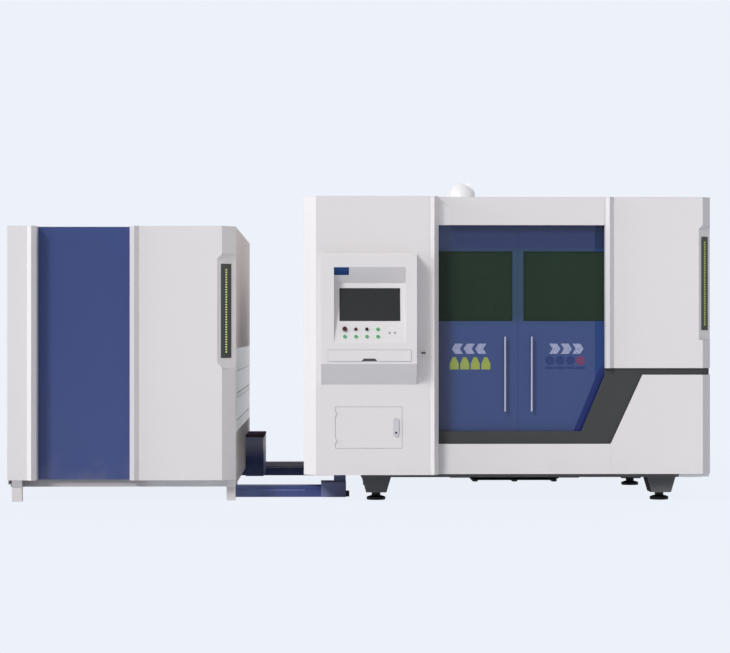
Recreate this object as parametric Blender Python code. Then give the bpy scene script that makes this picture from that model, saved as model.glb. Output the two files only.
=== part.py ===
"""Fibre laser cutting machine with a side exchange cabinet.

The machine is seen from its short operator side: X runs to the right, Y runs
away from the operator and Z runs up. Depths are measured from the front face
of the control column, and at_depth() turns them into Y. The origin is on the
floor, in the middle of the whole machine.
"""

import math

import bmesh
import bpy
from mathutils import Matrix, Vector

# Overall arrangement
CABINET_WIDTH = 1.650
MACHINE_GAP = 0.499
MAIN_WIDTH = 2.957
MAIN_DEPTH = 4.400
MAIN_TOP = 2.210
CONSOLE_OUT = 0.160
DRAWER_PROUD = 0.006
CLEAR = 0.0003
SHEET = 0.003
RUN = 0.004
NEST = 0.002

TOTAL_WIDTH = CABINET_WIDTH + MACHINE_GAP + MAIN_WIDTH
CABINET_LEFT = -TOTAL_WIDTH / 2
CABINET_RIGHT = CABINET_LEFT + CABINET_WIDTH
MAIN_LEFT = CABINET_RIGHT + MACHINE_GAP
MAIN_RIGHT = MAIN_LEFT + MAIN_WIDTH
FRONT = (CONSOLE_OUT + DRAWER_PROUD - MAIN_DEPTH) / 2

# Light bars on the front corners of both housings
LIGHT_RECESS_INSET = 0.027
LIGHT_RECESS_LOW = 1.1725
LIGHT_RECESS_HIGH = 2.003
LIGHT_RECESS_CUT = 0.025
LIGHT_BAR_THICK = 0.030
LIGHT_BAR_SINK = 0.004
LIGHT_STRIP_FAR = 0.0695
LIGHT_STRIP_NEAR = 0.0195
LIGHT_STRIP_LOW = 1.245
LIGHT_STRIP_HIGH = 1.922
LIGHT_STRIP_PROUD = 0.002
LIGHT_END_SLOPE = 0.028

# Front of the main enclosure
PANEL_BOTTOM = 0.200
COLUMN_WIDTH = 0.9077
LEFT_CHAMFER = 0.087
RIGHT_CHAMFER = 0.062
SIDE_RETURN = 0.060
COLUMN_RETURN = 0.040
SETBACK = 0.120
RIB_WIDTH = 0.065
RIB_RISE = 0.045
REVEAL_DEPTH = 0.045
OPENING_WIDTH = 1.209
HEADER_BOTTOM = 2.006
BAND_TOP = 0.968
BAND_STRIPE = 0.048
BAND_SETBACK = 0.015
BAND_THICK = 0.020
SILL_TOP = 0.510
SILL_BOTTOM = 0.419
BAND_INNER_TOP = 0.022
BAND_INNER_LOW = -0.170
BAND_OUTER_LOW = 0.044
BAND_OUTER_TOP = 0.274

COLUMN_RIGHT = MAIN_LEFT + COLUMN_WIDTH
LEFT_RIB = COLUMN_RIGHT + CLEAR
OPENING_LEFT = LEFT_RIB + RIB_WIDTH
OPENING_RIGHT = OPENING_LEFT + OPENING_WIDTH
RIGHT_COLUMN_LEFT = OPENING_RIGHT + RIB_WIDTH + CLEAR
COVER_TOP = MAIN_TOP - SHEET - CLEAR
INNER_LEFT = MAIN_LEFT + SHEET + CLEAR
INNER_RIGHT = MAIN_RIGHT - SHEET - CLEAR
INNER_REAR = MAIN_DEPTH - SHEET - CLEAR
FRAME_FRONT = SETBACK + SHEET + CLEAR
RING_FRONT = SETBACK + REVEAL_DEPTH + CLEAR
STRIPE_BOTTOM = BAND_TOP - BAND_STRIPE
CORNER_BACK = SETBACK + RIGHT_CHAMFER + SHEET + LIGHT_BAR_SINK + LIGHT_BAR_THICK

# Bed, its feet and the two levels of pallet rails
BED_FROM_LEFT = 1.569
BEAM_SPACING = 2.083
BEAM_WIDTH = 0.160
BEAM_BOTTOM = 0.980
BEAM_TOP = 1.180
BED_FRONT = 0.250
BED_REAR = 4.150
SILL_BEAM_BOTTOM = 0.200
SILL_BEAM_TOP = 0.360
RING_BOTTOM = 0.175
RING_HEIGHT = 0.072
RING_RAISE = 0.028
RING_WIDTH = 0.100
GUIDE_WIDTH = 0.034
GUIDE_HEIGHT = 0.035
GUIDE_WAIST = 0.022
PORTAL_THICK = 0.070
LEDGE_OUT = 0.045
LEDGE_THICK = 0.035
LOWER_LEVEL = 0.580
UPPER_LEVEL = 0.780
FOOT_DEPTHS = (0.380, 2.200, 4.030)
FOOT_DIAMETER = 0.138
FOOT_PLATE = 0.022
FOOT_CHAMFER = 0.004
FOOT_DOME = 0.009
FOOT_COLLAR = 0.012
FOOT_STEM = 0.065
BRACKET_TOP_WIDTH = 0.232
BRACKET_BOTTOM_WIDTH = 0.148
BRACKET_DEPTH = 0.220
BRACKET_FLANGE = 0.015
BRACKET_BOTTOM = 0.058

BED_CENTRE = MAIN_LEFT + BED_FROM_LEFT

# Pallets
PALLET_LENGTH = 3.140
PALLET_FRONT = 0.560
PALLET_WIDTH = 1.574
PALLET_MEMBER = 0.060
PALLET_CROSS_COUNT = 3
SHIELD_HEIGHT = 0.158
SHIELD_GAP = 0.006
SLAT_COUNT = 19
SLAT_THICK = 0.005
SLAT_SINK = 0.020
SLAT_HEIGHT = 0.080
TOOTH_DEPTH = 0.022
TOOTH_COUNT = 10

# Exchange cabinet
CABINET_FRONT = 0.150
CABINET_DEPTH = 3.690
CABINET_TOP = 2.000
CABINET_BOTTOM = 0.155
CABINET_SIDE_BOTTOM = 0.120
CABINET_CHAMFER = 0.096
CABINET_RIB_WIDTH = 0.068
CABINET_RIB_RISE = 0.035
CABINET_END_FLAT = 0.143
BLUE_PANEL_WIDTH = 0.675
BLUE_PANEL_SETBACK = 0.120
BLUE_PANEL_RETURN = 0.040
CABINET_LIGHT_INSET = 0.033
CABINET_LIGHT_LOW = 0.968
CABINET_LIGHT_HIGH = 1.800
CABINET_LIGHT_CUT = 0.037
CABINET_STRIP_FAR = 0.104
CABINET_STRIP_NEAR = 0.033
CABINET_STRIP_LOW = 1.043
CABINET_STRIP_HIGH = 1.7255
CABINET_POST = 0.064
CABINET_LEG_INSET = 0.0335
CABINET_LEG_WIDTH = 0.0725
CABINET_RING_LOW = 0.100
CABINET_RING_HEIGHT = 0.120
LOADING_LOW = 0.480
LOADING_HIGH = 1.780
LOADING_MARGIN = 0.330

# Sliding doors
DOOR_DEPTH = 0.185
DOOR_THICK = 0.030
LEFT_DOOR_SHOWN = 0.584
DOOR_GAP = 0.001
DOOR_HIDDEN = 0.085
DOOR_BOTTOM = 0.490
DOOR_TOP = 2.035
DOOR_TRAVEL = 0.395
DOOR_MEETING_STILE = 0.040
DOOR_OUTER_STILE = 0.060
WINDOW_LOW = 1.310
WINDOW_HIGH = 1.8165
WINDOW_THICK = 0.008
HANDLE_LOW = 0.654
HANDLE_HIGH = 1.196
HANDLE_DIAMETER = 0.016
HANDLE_POST = 0.012
HANDLE_STAND = 0.040
HANDLE_INSET = 0.060
HANDLE_FROM_MEETING = 0.097
TRACK_REACH = 0.020

DOOR_MEETING = OPENING_LEFT + LEFT_DOOR_SHOWN

# Operator console on the control column
CONSOLE_LEFT = 0.124
CONSOLE_WIDTH = 0.685
CONSOLE_LOW_BACK = 0.852
CONSOLE_LOW_FRONT = 1.002
CONSOLE_TOP = 1.794
CONSOLE_BEVEL = 0.016
RECESS_LEFT = 0.092
RECESS_WIDTH = 0.514
RECESS_TOP = 1.694
RECESS_BEND = 1.580
RECESS_BOTTOM = 1.150
RECESS_DEEP = 0.100
SCREEN_LEFT = 0.040
SCREEN_WIDTH = 0.435
SCREEN_UP = 0.163
SCREEN_HEIGHT = 0.242
SCREEN_THICK = 0.008
SCREEN_PROUD = 0.002
BUTTON_COLUMNS = 4
BUTTON_PITCH = 0.079
BUTTON_FIRST = 0.0775
BUTTON_ROW_LOW = 0.048
BUTTON_ROW_HIGH = 0.102
BUTTON_DIAMETER = 0.024
BUTTON_PROUD = 0.010
BUTTON_EDGE = 0.002
BUTTON_SINK = 0.012
BUTTON_HOLE_EXTRA = 0.010
STOP_DIAMETER = 0.034
STOP_PROUD = 0.022
STOP_DOME = 0.006
KEY_BARREL = 0.008
KEY_GRIP_WIDTH = 0.007
KEY_GRIP_PROUD = 0.014
PEG_DIAMETER = 0.014
PEG_LENGTH = 0.034
PEG_HEIGHT = 1.074
PEG_DEPTH = 0.060

# Keyboard drawer in the console
DRAWER_LEFT = 0.050
DRAWER_WIDTH = 0.592
DRAWER_LOW = 1.021
DRAWER_HIGH = 1.102
DRAWER_FACE = 0.012
DRAWER_GAP = 0.0015
DRAWER_REACH = 0.150
DRAWER_WALL = 0.003
DRAWER_TRAY_INSET = 0.012
DRAWER_TRAY_HEIGHT = 0.050
PULL_WIDTH = 0.115
PULL_HEIGHT = 0.0195
PULL_SLOPE = 0.018

# Maintenance door in the control column
HATCH_LEFT = 0.229
HATCH_WIDTH = 0.478
HATCH_LOW = 0.394
HATCH_HIGH = 0.690
HATCH_THICK = 0.012
HATCH_GAP = 0.002
HINGE_RADIUS = 0.005
HINGE_HEIGHT = 0.014
HINGE_INSET = 0.050
HINGE_LEAF = 0.020
HINGE_LEAF_THICK = 0.0025
LATCH_INSET = 0.042
LATCH_WIDTH = 0.046
LATCH_LOW = 0.473
LATCH_HIGH = 0.611
LATCH_THICK = 0.010
LATCH_RIM = 0.004
LATCH_RIM_THICK = 0.003
KEYHOLE_DIAMETER = 0.018
KEYHOLE_HEIGHT = 0.505
KEYHOLE_DEEP = 0.004
LATCH_NOTCH_WIDTH = 0.016
LATCH_NOTCH_HEIGHT = 0.008

# Gantry, carriage and cutting head
HEAD_DEPTH = 1.200
HEAD_LEFT_OF_BED = 0.070
GANTRY_HEIGHT = 0.200
GANTRY_THICK = 0.220
GANTRY_LIFT = 0.045
GANTRY_BEHIND = 0.160
X_RAIL_OUT = 0.018
X_RAIL_HEIGHT = 0.020
X_RAIL_INSET = 0.030
SADDLE_LENGTH = 0.380
SADDLE_WIDTH = 0.150
CARRIAGE_WIDTH = 0.350
CARRIAGE_TOP = 1.640
CARRIAGE_BOTTOM = 1.200
CARRIAGE_PLATE = 0.022
CARRIAGE_CHEEK = 0.012
CARRIAGE_FRONT = 0.080
HEAD_BLOCK_GAP = 0.006
HEAD_BLOCK_LOW = 1.240
HEAD_BLOCK_HIGH = 1.600
HEAD_BLOCK_THICK = 0.080
HEAD_TIP = 1.000
HEAD_PROFILE = (
    (0.0, 0.0), (0.006, 0.0), (0.010, 0.016), (0.016, 0.018), (0.020, 0.040), (0.030, 0.045),
    (0.030, 0.090), (0.048, 0.100), (0.048, 0.420), (0.038, 0.440), (0.0, 0.440),
)

HEAD_X = BED_CENTRE - HEAD_LEFT_OF_BED

# Roof hood over the extraction outlet
HOOD_FROM_LEFT = 1.210
HOOD_WIDTH = 0.200
HOOD_HEIGHT = 0.170
HOOD_DEPTH = 1.200
HOOD_LENGTH = 0.520
HOOD_SHEET = 0.003
HOOD_TIP_SHARE = 0.12

HOOD_X = MAIN_LEFT + HOOD_FROM_LEFT

# Scrap trough under the bed
TROUGH_WIDTH = 0.964
TROUGH_TOP_WIDTH = 0.668
TROUGH_FLOOR_WIDTH = 0.590
TROUGH_FLANGE = 0.142
TROUGH_FLOOR = 0.124
TROUGH_SHEET = 0.004
TROUGH_SKIDS = 3
TROUGH_SKID_DROP = 0.011
TROUGH_SKID_WIDTH = 0.048
TROUGH_SKID_SOLE = 0.032

# Floor beams that tie the cabinet to the machine, and the drive unit
TIE_FRONT_DEPTH = 0.680
TIE_REAR_DEPTH = 3.610
TIE_WIDTH = 0.220
TIE_REAR_WIDTH = 0.130
TIE_BASE = 0.055
TIE_HEIGHT = 0.082
TIE_STEP = 0.020
TIE_UNDER_CABINET = 0.064
TIE_REAR_UNDER_CABINET = 0.350
TIE_POST_FROM_MAIN = 0.220
TIE_POST_WIDTH = 0.0875
TIE_SHOE_LENGTH = 0.184
TIE_SHOE_TOP = 0.111
TIE_SHOE_PROUD = 0.020
TIE_REAR_RAIL = 0.115
TIE_FOOT_OUT = 0.027
TIE_FOOT_THICK = 0.035
DRIVE_DEPTH = 2.680
DRIVE_LENGTH = 0.900
DRIVE_OUT = 0.147
DRIVE_LOW = 0.045
DRIVE_HIGH = 0.366
DRIVE_CHAMFER = 0.006


def at_depth(depth):
    """The Y of a place that lies so far behind the control column's face."""
    return FRONT + depth


# Places that several pieces share
FRAME_POST = 0.050
LEDGE_GAP = 0.015
SLOT_MARGIN = 0.030
SLOT_BELOW = 0.080
SLOT_ABOVE = 0.200
PALLET_REAR = PALLET_FRONT + PALLET_LENGTH
SLOT_DEPTHS = (at_depth(PALLET_FRONT - SLOT_MARGIN), at_depth(PALLET_REAR + SLOT_MARGIN))
SLOT_HEIGHTS = (LOWER_LEVEL - SLOT_BELOW, UPPER_LEVEL + SLOT_ABOVE)
PORTALS = (
    (PALLET_FRONT - LEDGE_GAP - PORTAL_THICK, PALLET_FRONT - LEDGE_GAP, 1),
    (PALLET_REAR + LEDGE_GAP, PALLET_REAR + LEDGE_GAP + PORTAL_THICK, -1),
)
JAMB_LEFT = (LEFT_RIB + SHEET + CLEAR, OPENING_LEFT - SHEET - 2 * CLEAR)
JAMB_RIGHT = (OPENING_RIGHT + SHEET + CLEAR, OPENING_RIGHT + RIB_WIDTH - SHEET - 2 * CLEAR)
TRACK_BACK = DOOR_DEPTH + DOOR_THICK + RUN
TRACK_ENDS = (OPENING_LEFT - DOOR_HIDDEN - DOOR_TRAVEL - TRACK_REACH,
              OPENING_RIGHT + DOOR_HIDDEN + DOOR_TRAVEL + TRACK_REACH)
SIDE_POST_DEPTHS = (PALLET_FRONT - SLOT_MARGIN - FRAME_POST, PALLET_REAR + SLOT_MARGIN)
CONSOLE_X = MAIN_LEFT + CONSOLE_LEFT
CONSOLE_RIGHT = CONSOLE_X + CONSOLE_WIDTH
CONSOLE_FACE = at_depth(-CONSOLE_OUT)
RECESS_X = CONSOLE_X + RECESS_LEFT
PANEL_TILT = math.atan2(RECESS_DEEP, RECESS_BEND - RECESS_BOTTOM)


for item in list(bpy.data.objects):
    bpy.data.objects.remove(item, do_unlink=True)


# Materials

def paint(name, colour, roughness, metallic=0.0, alpha=1.0):
    """A Principled material of one colour."""
    made = bpy.data.materials.new(name)
    made.use_nodes = True
    shader = made.node_tree.nodes["Principled BSDF"]
    shader.inputs["Base Color"].default_value = (*colour, 1.0)
    shader.inputs["Roughness"].default_value = roughness
    shader.inputs["Metallic"].default_value = metallic
    shader.inputs["Alpha"].default_value = alpha
    return made


WHITE = paint("white_paint", (0.70, 0.68, 0.70), 0.35)
BLUE = paint("blue_paint", (0.05, 0.08, 0.22), 0.35)
CHARCOAL = paint("charcoal_paint", (0.055, 0.055, 0.06), 0.50)
GREY = paint("grey_paint", (0.42, 0.40, 0.40), 0.40)
BLACK = paint("black_plastic", (0.01, 0.01, 0.012), 0.40)
STEEL = paint("bright_steel", (0.60, 0.60, 0.62), 0.30, 1.0)
SLAT_STEEL = paint("slat_steel", (0.32, 0.31, 0.30), 0.55, 0.9)
GREEN_GLASS = paint("green_window", (0.02, 0.06, 0.03), 0.10, 0.0, 0.85)
SCREEN_GLASS = paint("screen_glass", (0.04, 0.04, 0.045), 0.15)
RED = paint("red_plastic", (0.45, 0.01, 0.02), 0.35)
GREEN = paint("green_plastic", (0.02, 0.30, 0.08), 0.35)
GANTRY_GREY = paint("gantry_grey", (0.45, 0.46, 0.48), 0.40)


# Modelling helpers

def finish(name, shape, material, pivot=(0.0, 0.0, 0.0), smooth=False):
    """Makes the named object from a shape in world places, with its origin at the pivot."""
    bmesh.ops.remove_doubles(shape, verts=shape.verts, dist=1e-6)
    bmesh.ops.recalc_face_normals(shape, faces=shape.faces)
    bmesh.ops.translate(shape, verts=shape.verts, vec=-Vector(pivot))
    mesh = bpy.data.meshes.new(name)
    shape.to_mesh(mesh)
    shape.free()
    mesh.materials.append(material)
    if smooth:
        mesh.shade_smooth()
        mesh.set_sharp_from_angle(angle=math.radians(35))
    made = bpy.data.objects.new(name, mesh)
    made.location = pivot
    bpy.context.scene.collection.objects.link(made)
    return made


def guide(name, shape):
    """Makes a hidden cutter or joining piece, which only its owner's modifier uses."""
    made = finish(name, shape, CHARCOAL)
    made.hide_render = True
    made.display_type = "WIRE"
    return made


def boolean(target, operation, shape, label):
    """Cuts the target with a shape, or joins the shape to it."""
    tool = guide(f"{target.name}_{label}", shape)
    step = target.modifiers.new(label, "BOOLEAN")
    step.operation = operation
    step.solver = "EXACT"
    step.use_self = operation == "UNION"
    step.object = tool
    return target


def cut(target, shape, label="cut"):
    return boolean(target, "DIFFERENCE", shape, label)


def weld(target, shape, label="weld"):
    return boolean(target, "UNION", shape, label)


def add_block(shape, x, y, z):
    """Adds a box that spans the given pairs of places."""
    made = bmesh.ops.create_cube(shape, size=1.0)
    size = Vector((x[1] - x[0], y[1] - y[0], z[1] - z[0]))
    middle = Vector((x[0] + x[1], y[0] + y[1], z[0] + z[1])) / 2
    bmesh.ops.scale(shape, verts=made["verts"], vec=size)
    bmesh.ops.translate(shape, verts=made["verts"], vec=middle)
    return made["verts"]


def block(x, y, z):
    shape = bmesh.new()
    add_block(shape, x, y, z)
    return shape


def blocks(spans):
    shape = bmesh.new()
    for x, y, z in spans:
        add_block(shape, x, y, z)
    return shape


def spread(axis, place, pair):
    """A point from a place along one axis and a pair on the other two, in X, Y, Z order."""
    if axis == "X":
        return Vector((place, pair[0], pair[1]))
    if axis == "Y":
        return Vector((pair[0], place, pair[1]))
    return Vector((pair[0], pair[1], place))


def add_prism(shape, axis, outline, start, end):
    """Adds a flat outline extruded along one axis."""
    rim = [shape.verts.new(spread(axis, start, pair)) for pair in outline]
    face = shape.faces.new(rim)
    made = bmesh.ops.extrude_face_region(shape, geom=[face])
    moved = [part for part in made["geom"] if isinstance(part, bmesh.types.BMVert)]
    bmesh.ops.translate(shape, verts=moved, vec=spread(axis, end - start, (0.0, 0.0)))
    return rim + moved


def prism(axis, outline, start, end):
    shape = bmesh.new()
    add_prism(shape, axis, outline, start, end)
    return shape


def offset_path(path, distance):
    """A path moved sideways, to the left of its direction, with mitred corners."""
    points = [Vector(point) for point in path]
    ways = [(b - a).normalized() for a, b in zip(points, points[1:])]
    sides = [Vector((-way.y, way.x)) for way in ways]
    moved = []
    for index, point in enumerate(points):
        before = sides[max(index - 1, 0)]
        after = sides[min(index, len(sides) - 1)]
        mitre = before + after
        moved.append(point + mitre * (2 * distance / mitre.length_squared))
    return moved


def folded(path, thickness):
    """The outline of a sheet bent along a path, its thickness to the path's left."""
    outer = [Vector(point) for point in path]
    return outer + offset_path(path, thickness)[::-1]


def plan(points):
    """Turns (X, depth) pairs into (X, Y) pairs."""
    return [(x, at_depth(depth)) for x, depth in points]


def add_turned(shape, profile, segments, matrix):
    """Adds a profile of (radius, height) pairs, turned about the matrix's Z axis."""
    verts = [shape.verts.new((radius, 0.0, height)) for radius, height in profile]
    edges = [shape.edges.new(pair) for pair in zip(verts, verts[1:])]
    bmesh.ops.spin(shape, geom=verts + edges, cent=(0, 0, 0), axis=(0, 0, 1),
                   angle=2 * math.pi, steps=segments, use_merge=True)
    made = [vert for vert in shape.verts if not vert.tag]
    bmesh.ops.transform(shape, matrix=matrix, verts=made)
    for vert in made:
        vert.tag = True


def turned(profile, segments, matrix):
    shape = bmesh.new()
    add_turned(shape, profile, segments, matrix)
    bmesh.ops.remove_doubles(shape, verts=shape.verts, dist=1e-6)
    return shape


def rod(radius, start, end, segments=12):
    """A round bar between two points."""
    way = Vector(end) - Vector(start)
    turn = Vector((0, 0, 1)).rotation_difference(way).to_matrix().to_4x4()
    place = Matrix.Translation(start) @ turn
    profile = [(0, 0), (radius, 0), (radius, way.length), (0, way.length)]
    return turned(profile, segments, place)


# Hinges of the maintenance door

def hinge_line(height):
    """The point of the hinges' axis at a height."""
    return (MAIN_LEFT + HATCH_LEFT - HATCH_GAP / 2, at_depth(-HINGE_RADIUS), height)


def hinge_heights():
    """The heights at which the two hinges part."""
    return (HATCH_LOW + HINGE_INSET, HATCH_HIGH - HINGE_INSET)


def knuckle(side, low, high):
    """A hinge's knuckle with the leaf that joins it to the door, or to the cover for side -1."""
    shape = rod(HINGE_RADIUS, hinge_line(low), hinge_line(high))
    x = hinge_line(low)[0]
    add_block(shape, sorted((x, x + side * HINGE_LEAF)),
              (at_depth(-HINGE_LEAF_THICK), at_depth(SHEET / 2)), (low + NEST / 2, high - NEST / 2))
    return shape


# Outer covers of the main enclosure

def column_path():
    """Plan of the control column's cover, from its left return to its right one."""
    return plan([
        (MAIN_LEFT, LEFT_CHAMFER + SIDE_RETURN),
        (MAIN_LEFT, LEFT_CHAMFER),
        (MAIN_LEFT + LEFT_CHAMFER, 0.0),
        (COLUMN_RIGHT, 0.0),
        (COLUMN_RIGHT, COLUMN_RETURN),
    ])


def make_control_column_cover():
    outline = folded(column_path(), SHEET)
    cover = finish("control_column_cover", prism("Z", outline, PANEL_BOTTOM, COVER_TOP), WHITE)
    ends = (at_depth(-RUN), at_depth(SHEET + RUN))
    left = MAIN_LEFT + HATCH_LEFT - HATCH_GAP
    right = left + HATCH_WIDTH + 2 * HATCH_GAP
    cut(cover, block((left, right), ends, (HATCH_LOW - HATCH_GAP, HATCH_HIGH + HATCH_GAP)), "hatch")
    for index, split in enumerate(hinge_heights()):
        weld(cover, knuckle(-1, split - HINGE_HEIGHT, split - CLEAR), f"knuckle_{index}")


def make_rib(name, left, ridge, low, back):
    """A ribbed pilaster with a sharp ridge, folded from one sheet."""
    edge = ridge + RIB_RISE
    path = plan([
        (left, edge + COLUMN_RETURN),
        (left, edge),
        (left + RIB_WIDTH / 2, ridge),
        (left + RIB_WIDTH - CLEAR, edge),
        (left + RIB_WIDTH - CLEAR, back),
    ])
    finish(name, prism("Z", folded(path, SHEET), low, COVER_TOP), WHITE)


def make_header_panel():
    left = OPENING_LEFT
    right = OPENING_RIGHT - CLEAR
    path = [
        (at_depth(SETBACK), COVER_TOP),
        (at_depth(SETBACK), HEADER_BOTTOM),
        (at_depth(SETBACK + REVEAL_DEPTH), HEADER_BOTTOM),
    ]
    finish("header_panel", prism("X", folded(path, SHEET), left, right), WHITE)


def right_path():
    """Plan of the right corner: face, chamfer and a short side return."""
    return plan([
        (RIGHT_COLUMN_LEFT, SETBACK + REVEAL_DEPTH),
        (RIGHT_COLUMN_LEFT, SETBACK),
        (MAIN_RIGHT - RIGHT_CHAMFER, SETBACK),
        (MAIN_RIGHT, SETBACK + RIGHT_CHAMFER),
        (MAIN_RIGHT, SETBACK + RIGHT_CHAMFER + SIDE_RETURN),
    ])


def light_recess(left, right, low, high, low_cut, high_cut):
    """The outline of a lamp recess, its left corners cut at 45 degrees."""
    return [
        (left, low + low_cut), (left + low_cut, low), (right, low), (right, high),
        (left + high_cut, high), (left, high - high_cut),
    ]


def make_right_column_cover():
    shape = prism("Z", folded(right_path(), SHEET), BAND_TOP, COVER_TOP)
    cover = finish("right_column_cover", shape, WHITE)
    left = MAIN_RIGHT - RIGHT_CHAMFER - LIGHT_RECESS_INSET
    depths = (at_depth(SETBACK - RUN), at_depth(SETBACK + RIGHT_CHAMFER + LIGHT_BAR_SINK))
    outline = light_recess(left, MAIN_RIGHT + RUN, LIGHT_RECESS_LOW, LIGHT_RECESS_HIGH,
                           0.0, LIGHT_RECESS_CUT)
    cut(cover, prism("Y", outline, *depths), "light")


def make_light_bar(name, corner, face, inset, chamfer, heights, cuts, strip, strip_heights):
    """A lamp housing across a chamfered corner: sloped ends, a flat floor and the lamp strip."""
    left = corner - chamfer - inset + CLEAR
    right = corner - SHEET - CLEAR
    near = face + LIGHT_BAR_SINK
    far = face + chamfer + LIGHT_BAR_SINK - CLEAR
    outline = plan([
        (left, near),
        (left, near + LIGHT_BAR_THICK),
        (right, far + LIGHT_BAR_THICK),
        (right, far),
    ])
    low, high = heights
    bar = finish(name, prism("Z", outline, low + CLEAR, high - CLEAR), WHITE)
    slope = (far - near) / (right - left)
    start, end = ((x, near + (x - left) * slope) for x in (corner - strip[0], corner - strip[1]))
    outline = plan([
        (start[0], start[1] - LIGHT_STRIP_PROUD), (start[0], start[1] + RUN),
        (end[0], end[1] + RUN), (end[0], end[1] - LIGHT_STRIP_PROUD),
    ])
    weld(bar, prism("Z", outline, *strip_heights), "strip")
    back = (near + LIGHT_BAR_THICK - NEST, far + LIGHT_BAR_THICK - NEST)
    ends = bmesh.new()
    for edge, toward, corner_cut in ((low, 1, cuts[0]), (high, -1, cuts[1])):
        inner = [(left + CLEAR, near + NEST / 2), (left + CLEAR, back[0]),
                 (right - NEST / 2, back[1]), (right - NEST / 2, far + NEST / 2)]
        outer = [(left + corner_cut + 2 * CLEAR, face), (left + corner_cut + 2 * CLEAR, back[0]),
                 (right - NEST / 2, back[1]), (right - NEST / 2, face + chamfer - CLEAR)]
        slope_height = max(corner_cut, LIGHT_END_SLOPE)
        verts = add_prism(ends, "Z", plan(inner), edge + toward * slope_height,
                          edge + toward * 2 * CLEAR)
        for vert, (x, y) in zip(verts[4:], plan(outer)):
            vert.co.x = x
            vert.co.y = y
    weld(bar, ends, "ends")


def make_lower_right_cover():
    low_left = OPENING_RIGHT + BAND_OUTER_LOW
    path = right_path()
    path[0] = (low_left, at_depth(SETBACK + REVEAL_DEPTH / 2))
    path[1] = (low_left, at_depth(SETBACK))
    shape = prism("Z", folded(path, SHEET), PANEL_BOTTOM, STRIPE_BOTTOM)
    cover = finish("lower_right_cover", shape, WHITE)
    corner = OPENING_RIGHT + BAND_OUTER_TOP
    slope = [
        (low_left - RUN, SILL_BOTTOM),
        (low_left, SILL_BOTTOM),
        (corner, STRIPE_BOTTOM),
        (corner, STRIPE_BOTTOM + RUN),
        (low_left - RUN, STRIPE_BOTTOM + RUN),
    ]
    ends = (at_depth(SETBACK - RUN), at_depth(SETBACK + REVEAL_DEPTH))
    cut(cover, prism("Y", slope, *ends), "slope")


def make_lower_front_cover():
    left = OPENING_LEFT
    right = OPENING_RIGHT + BAND_OUTER_LOW - CLEAR
    path = [
        (at_depth(SETBACK + REVEAL_DEPTH / 2), PANEL_BOTTOM),
        (at_depth(SETBACK), PANEL_BOTTOM),
        (at_depth(SETBACK), SILL_BOTTOM - CLEAR),
    ]
    finish("lower_front_cover", prism("X", folded(path, -SHEET), left, right), WHITE)


def make_sill_band():
    """The charcoal band: a sill, a slanted limb and a stripe that turns the corner."""
    near = SETBACK + BAND_SETBACK
    stripe_low = STRIPE_BOTTOM + CLEAR
    stripe_high = BAND_TOP - CLEAR
    corner_shift = BAND_SETBACK * math.tan(math.radians(22.5))
    turn = MAIN_RIGHT - RIGHT_CHAMFER - corner_shift
    outline = [
        (OPENING_LEFT, SILL_BOTTOM + CLEAR),
        (OPENING_RIGHT + BAND_OUTER_LOW - CLEAR, SILL_BOTTOM + CLEAR),
        (OPENING_RIGHT + BAND_OUTER_TOP, stripe_low),
        (turn, stripe_low),
        (turn, stripe_high),
        (OPENING_RIGHT + BAND_INNER_TOP, stripe_high),
        (OPENING_RIGHT + BAND_INNER_LOW, SILL_TOP),
        (OPENING_LEFT, SILL_TOP),
    ]
    shape = prism("Y", outline, at_depth(near), at_depth(near + BAND_THICK))
    band = finish("sill_band", shape, CHARCOAL)
    path = plan([
        (turn - BAND_THICK, near),
        (turn, near),
        (MAIN_RIGHT - BAND_SETBACK, SETBACK + RIGHT_CHAMFER + corner_shift),
        (MAIN_RIGHT - BAND_SETBACK, CORNER_BACK),
    ])
    weld(band, prism("Z", folded(path, BAND_THICK), stripe_low, stripe_high), "corner")


def make_main_side_covers():
    front = LEFT_CHAMFER + SIDE_RETURN + CLEAR
    outline = [(at_depth(front), PANEL_BOTTOM), (at_depth(MAIN_DEPTH), PANEL_BOTTOM),
               (at_depth(MAIN_DEPTH), COVER_TOP), (at_depth(front), COVER_TOP)]
    shape = prism("X", outline, MAIN_LEFT, MAIN_LEFT + SHEET)
    cover = finish("main_left_side_cover", shape, WHITE)
    spans = ((MAIN_LEFT - RUN, MAIN_LEFT + SHEET + RUN), SLOT_DEPTHS, SLOT_HEIGHTS)
    cut(cover, block(*spans), "slot")
    front = SETBACK + RIGHT_CHAMFER + SIDE_RETURN + CLEAR
    spans = ((MAIN_RIGHT - SHEET, MAIN_RIGHT), (at_depth(front), at_depth(MAIN_DEPTH)),
             (PANEL_BOTTOM, COVER_TOP))
    finish("main_right_side_cover", block(*spans), WHITE)


def make_main_rear_cover():
    spans = ((MAIN_LEFT + SHEET + CLEAR, MAIN_RIGHT - SHEET - CLEAR),
             (at_depth(MAIN_DEPTH - SHEET), at_depth(MAIN_DEPTH)), (PANEL_BOTTOM, COVER_TOP))
    finish("main_rear_cover", block(*spans), WHITE)


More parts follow.
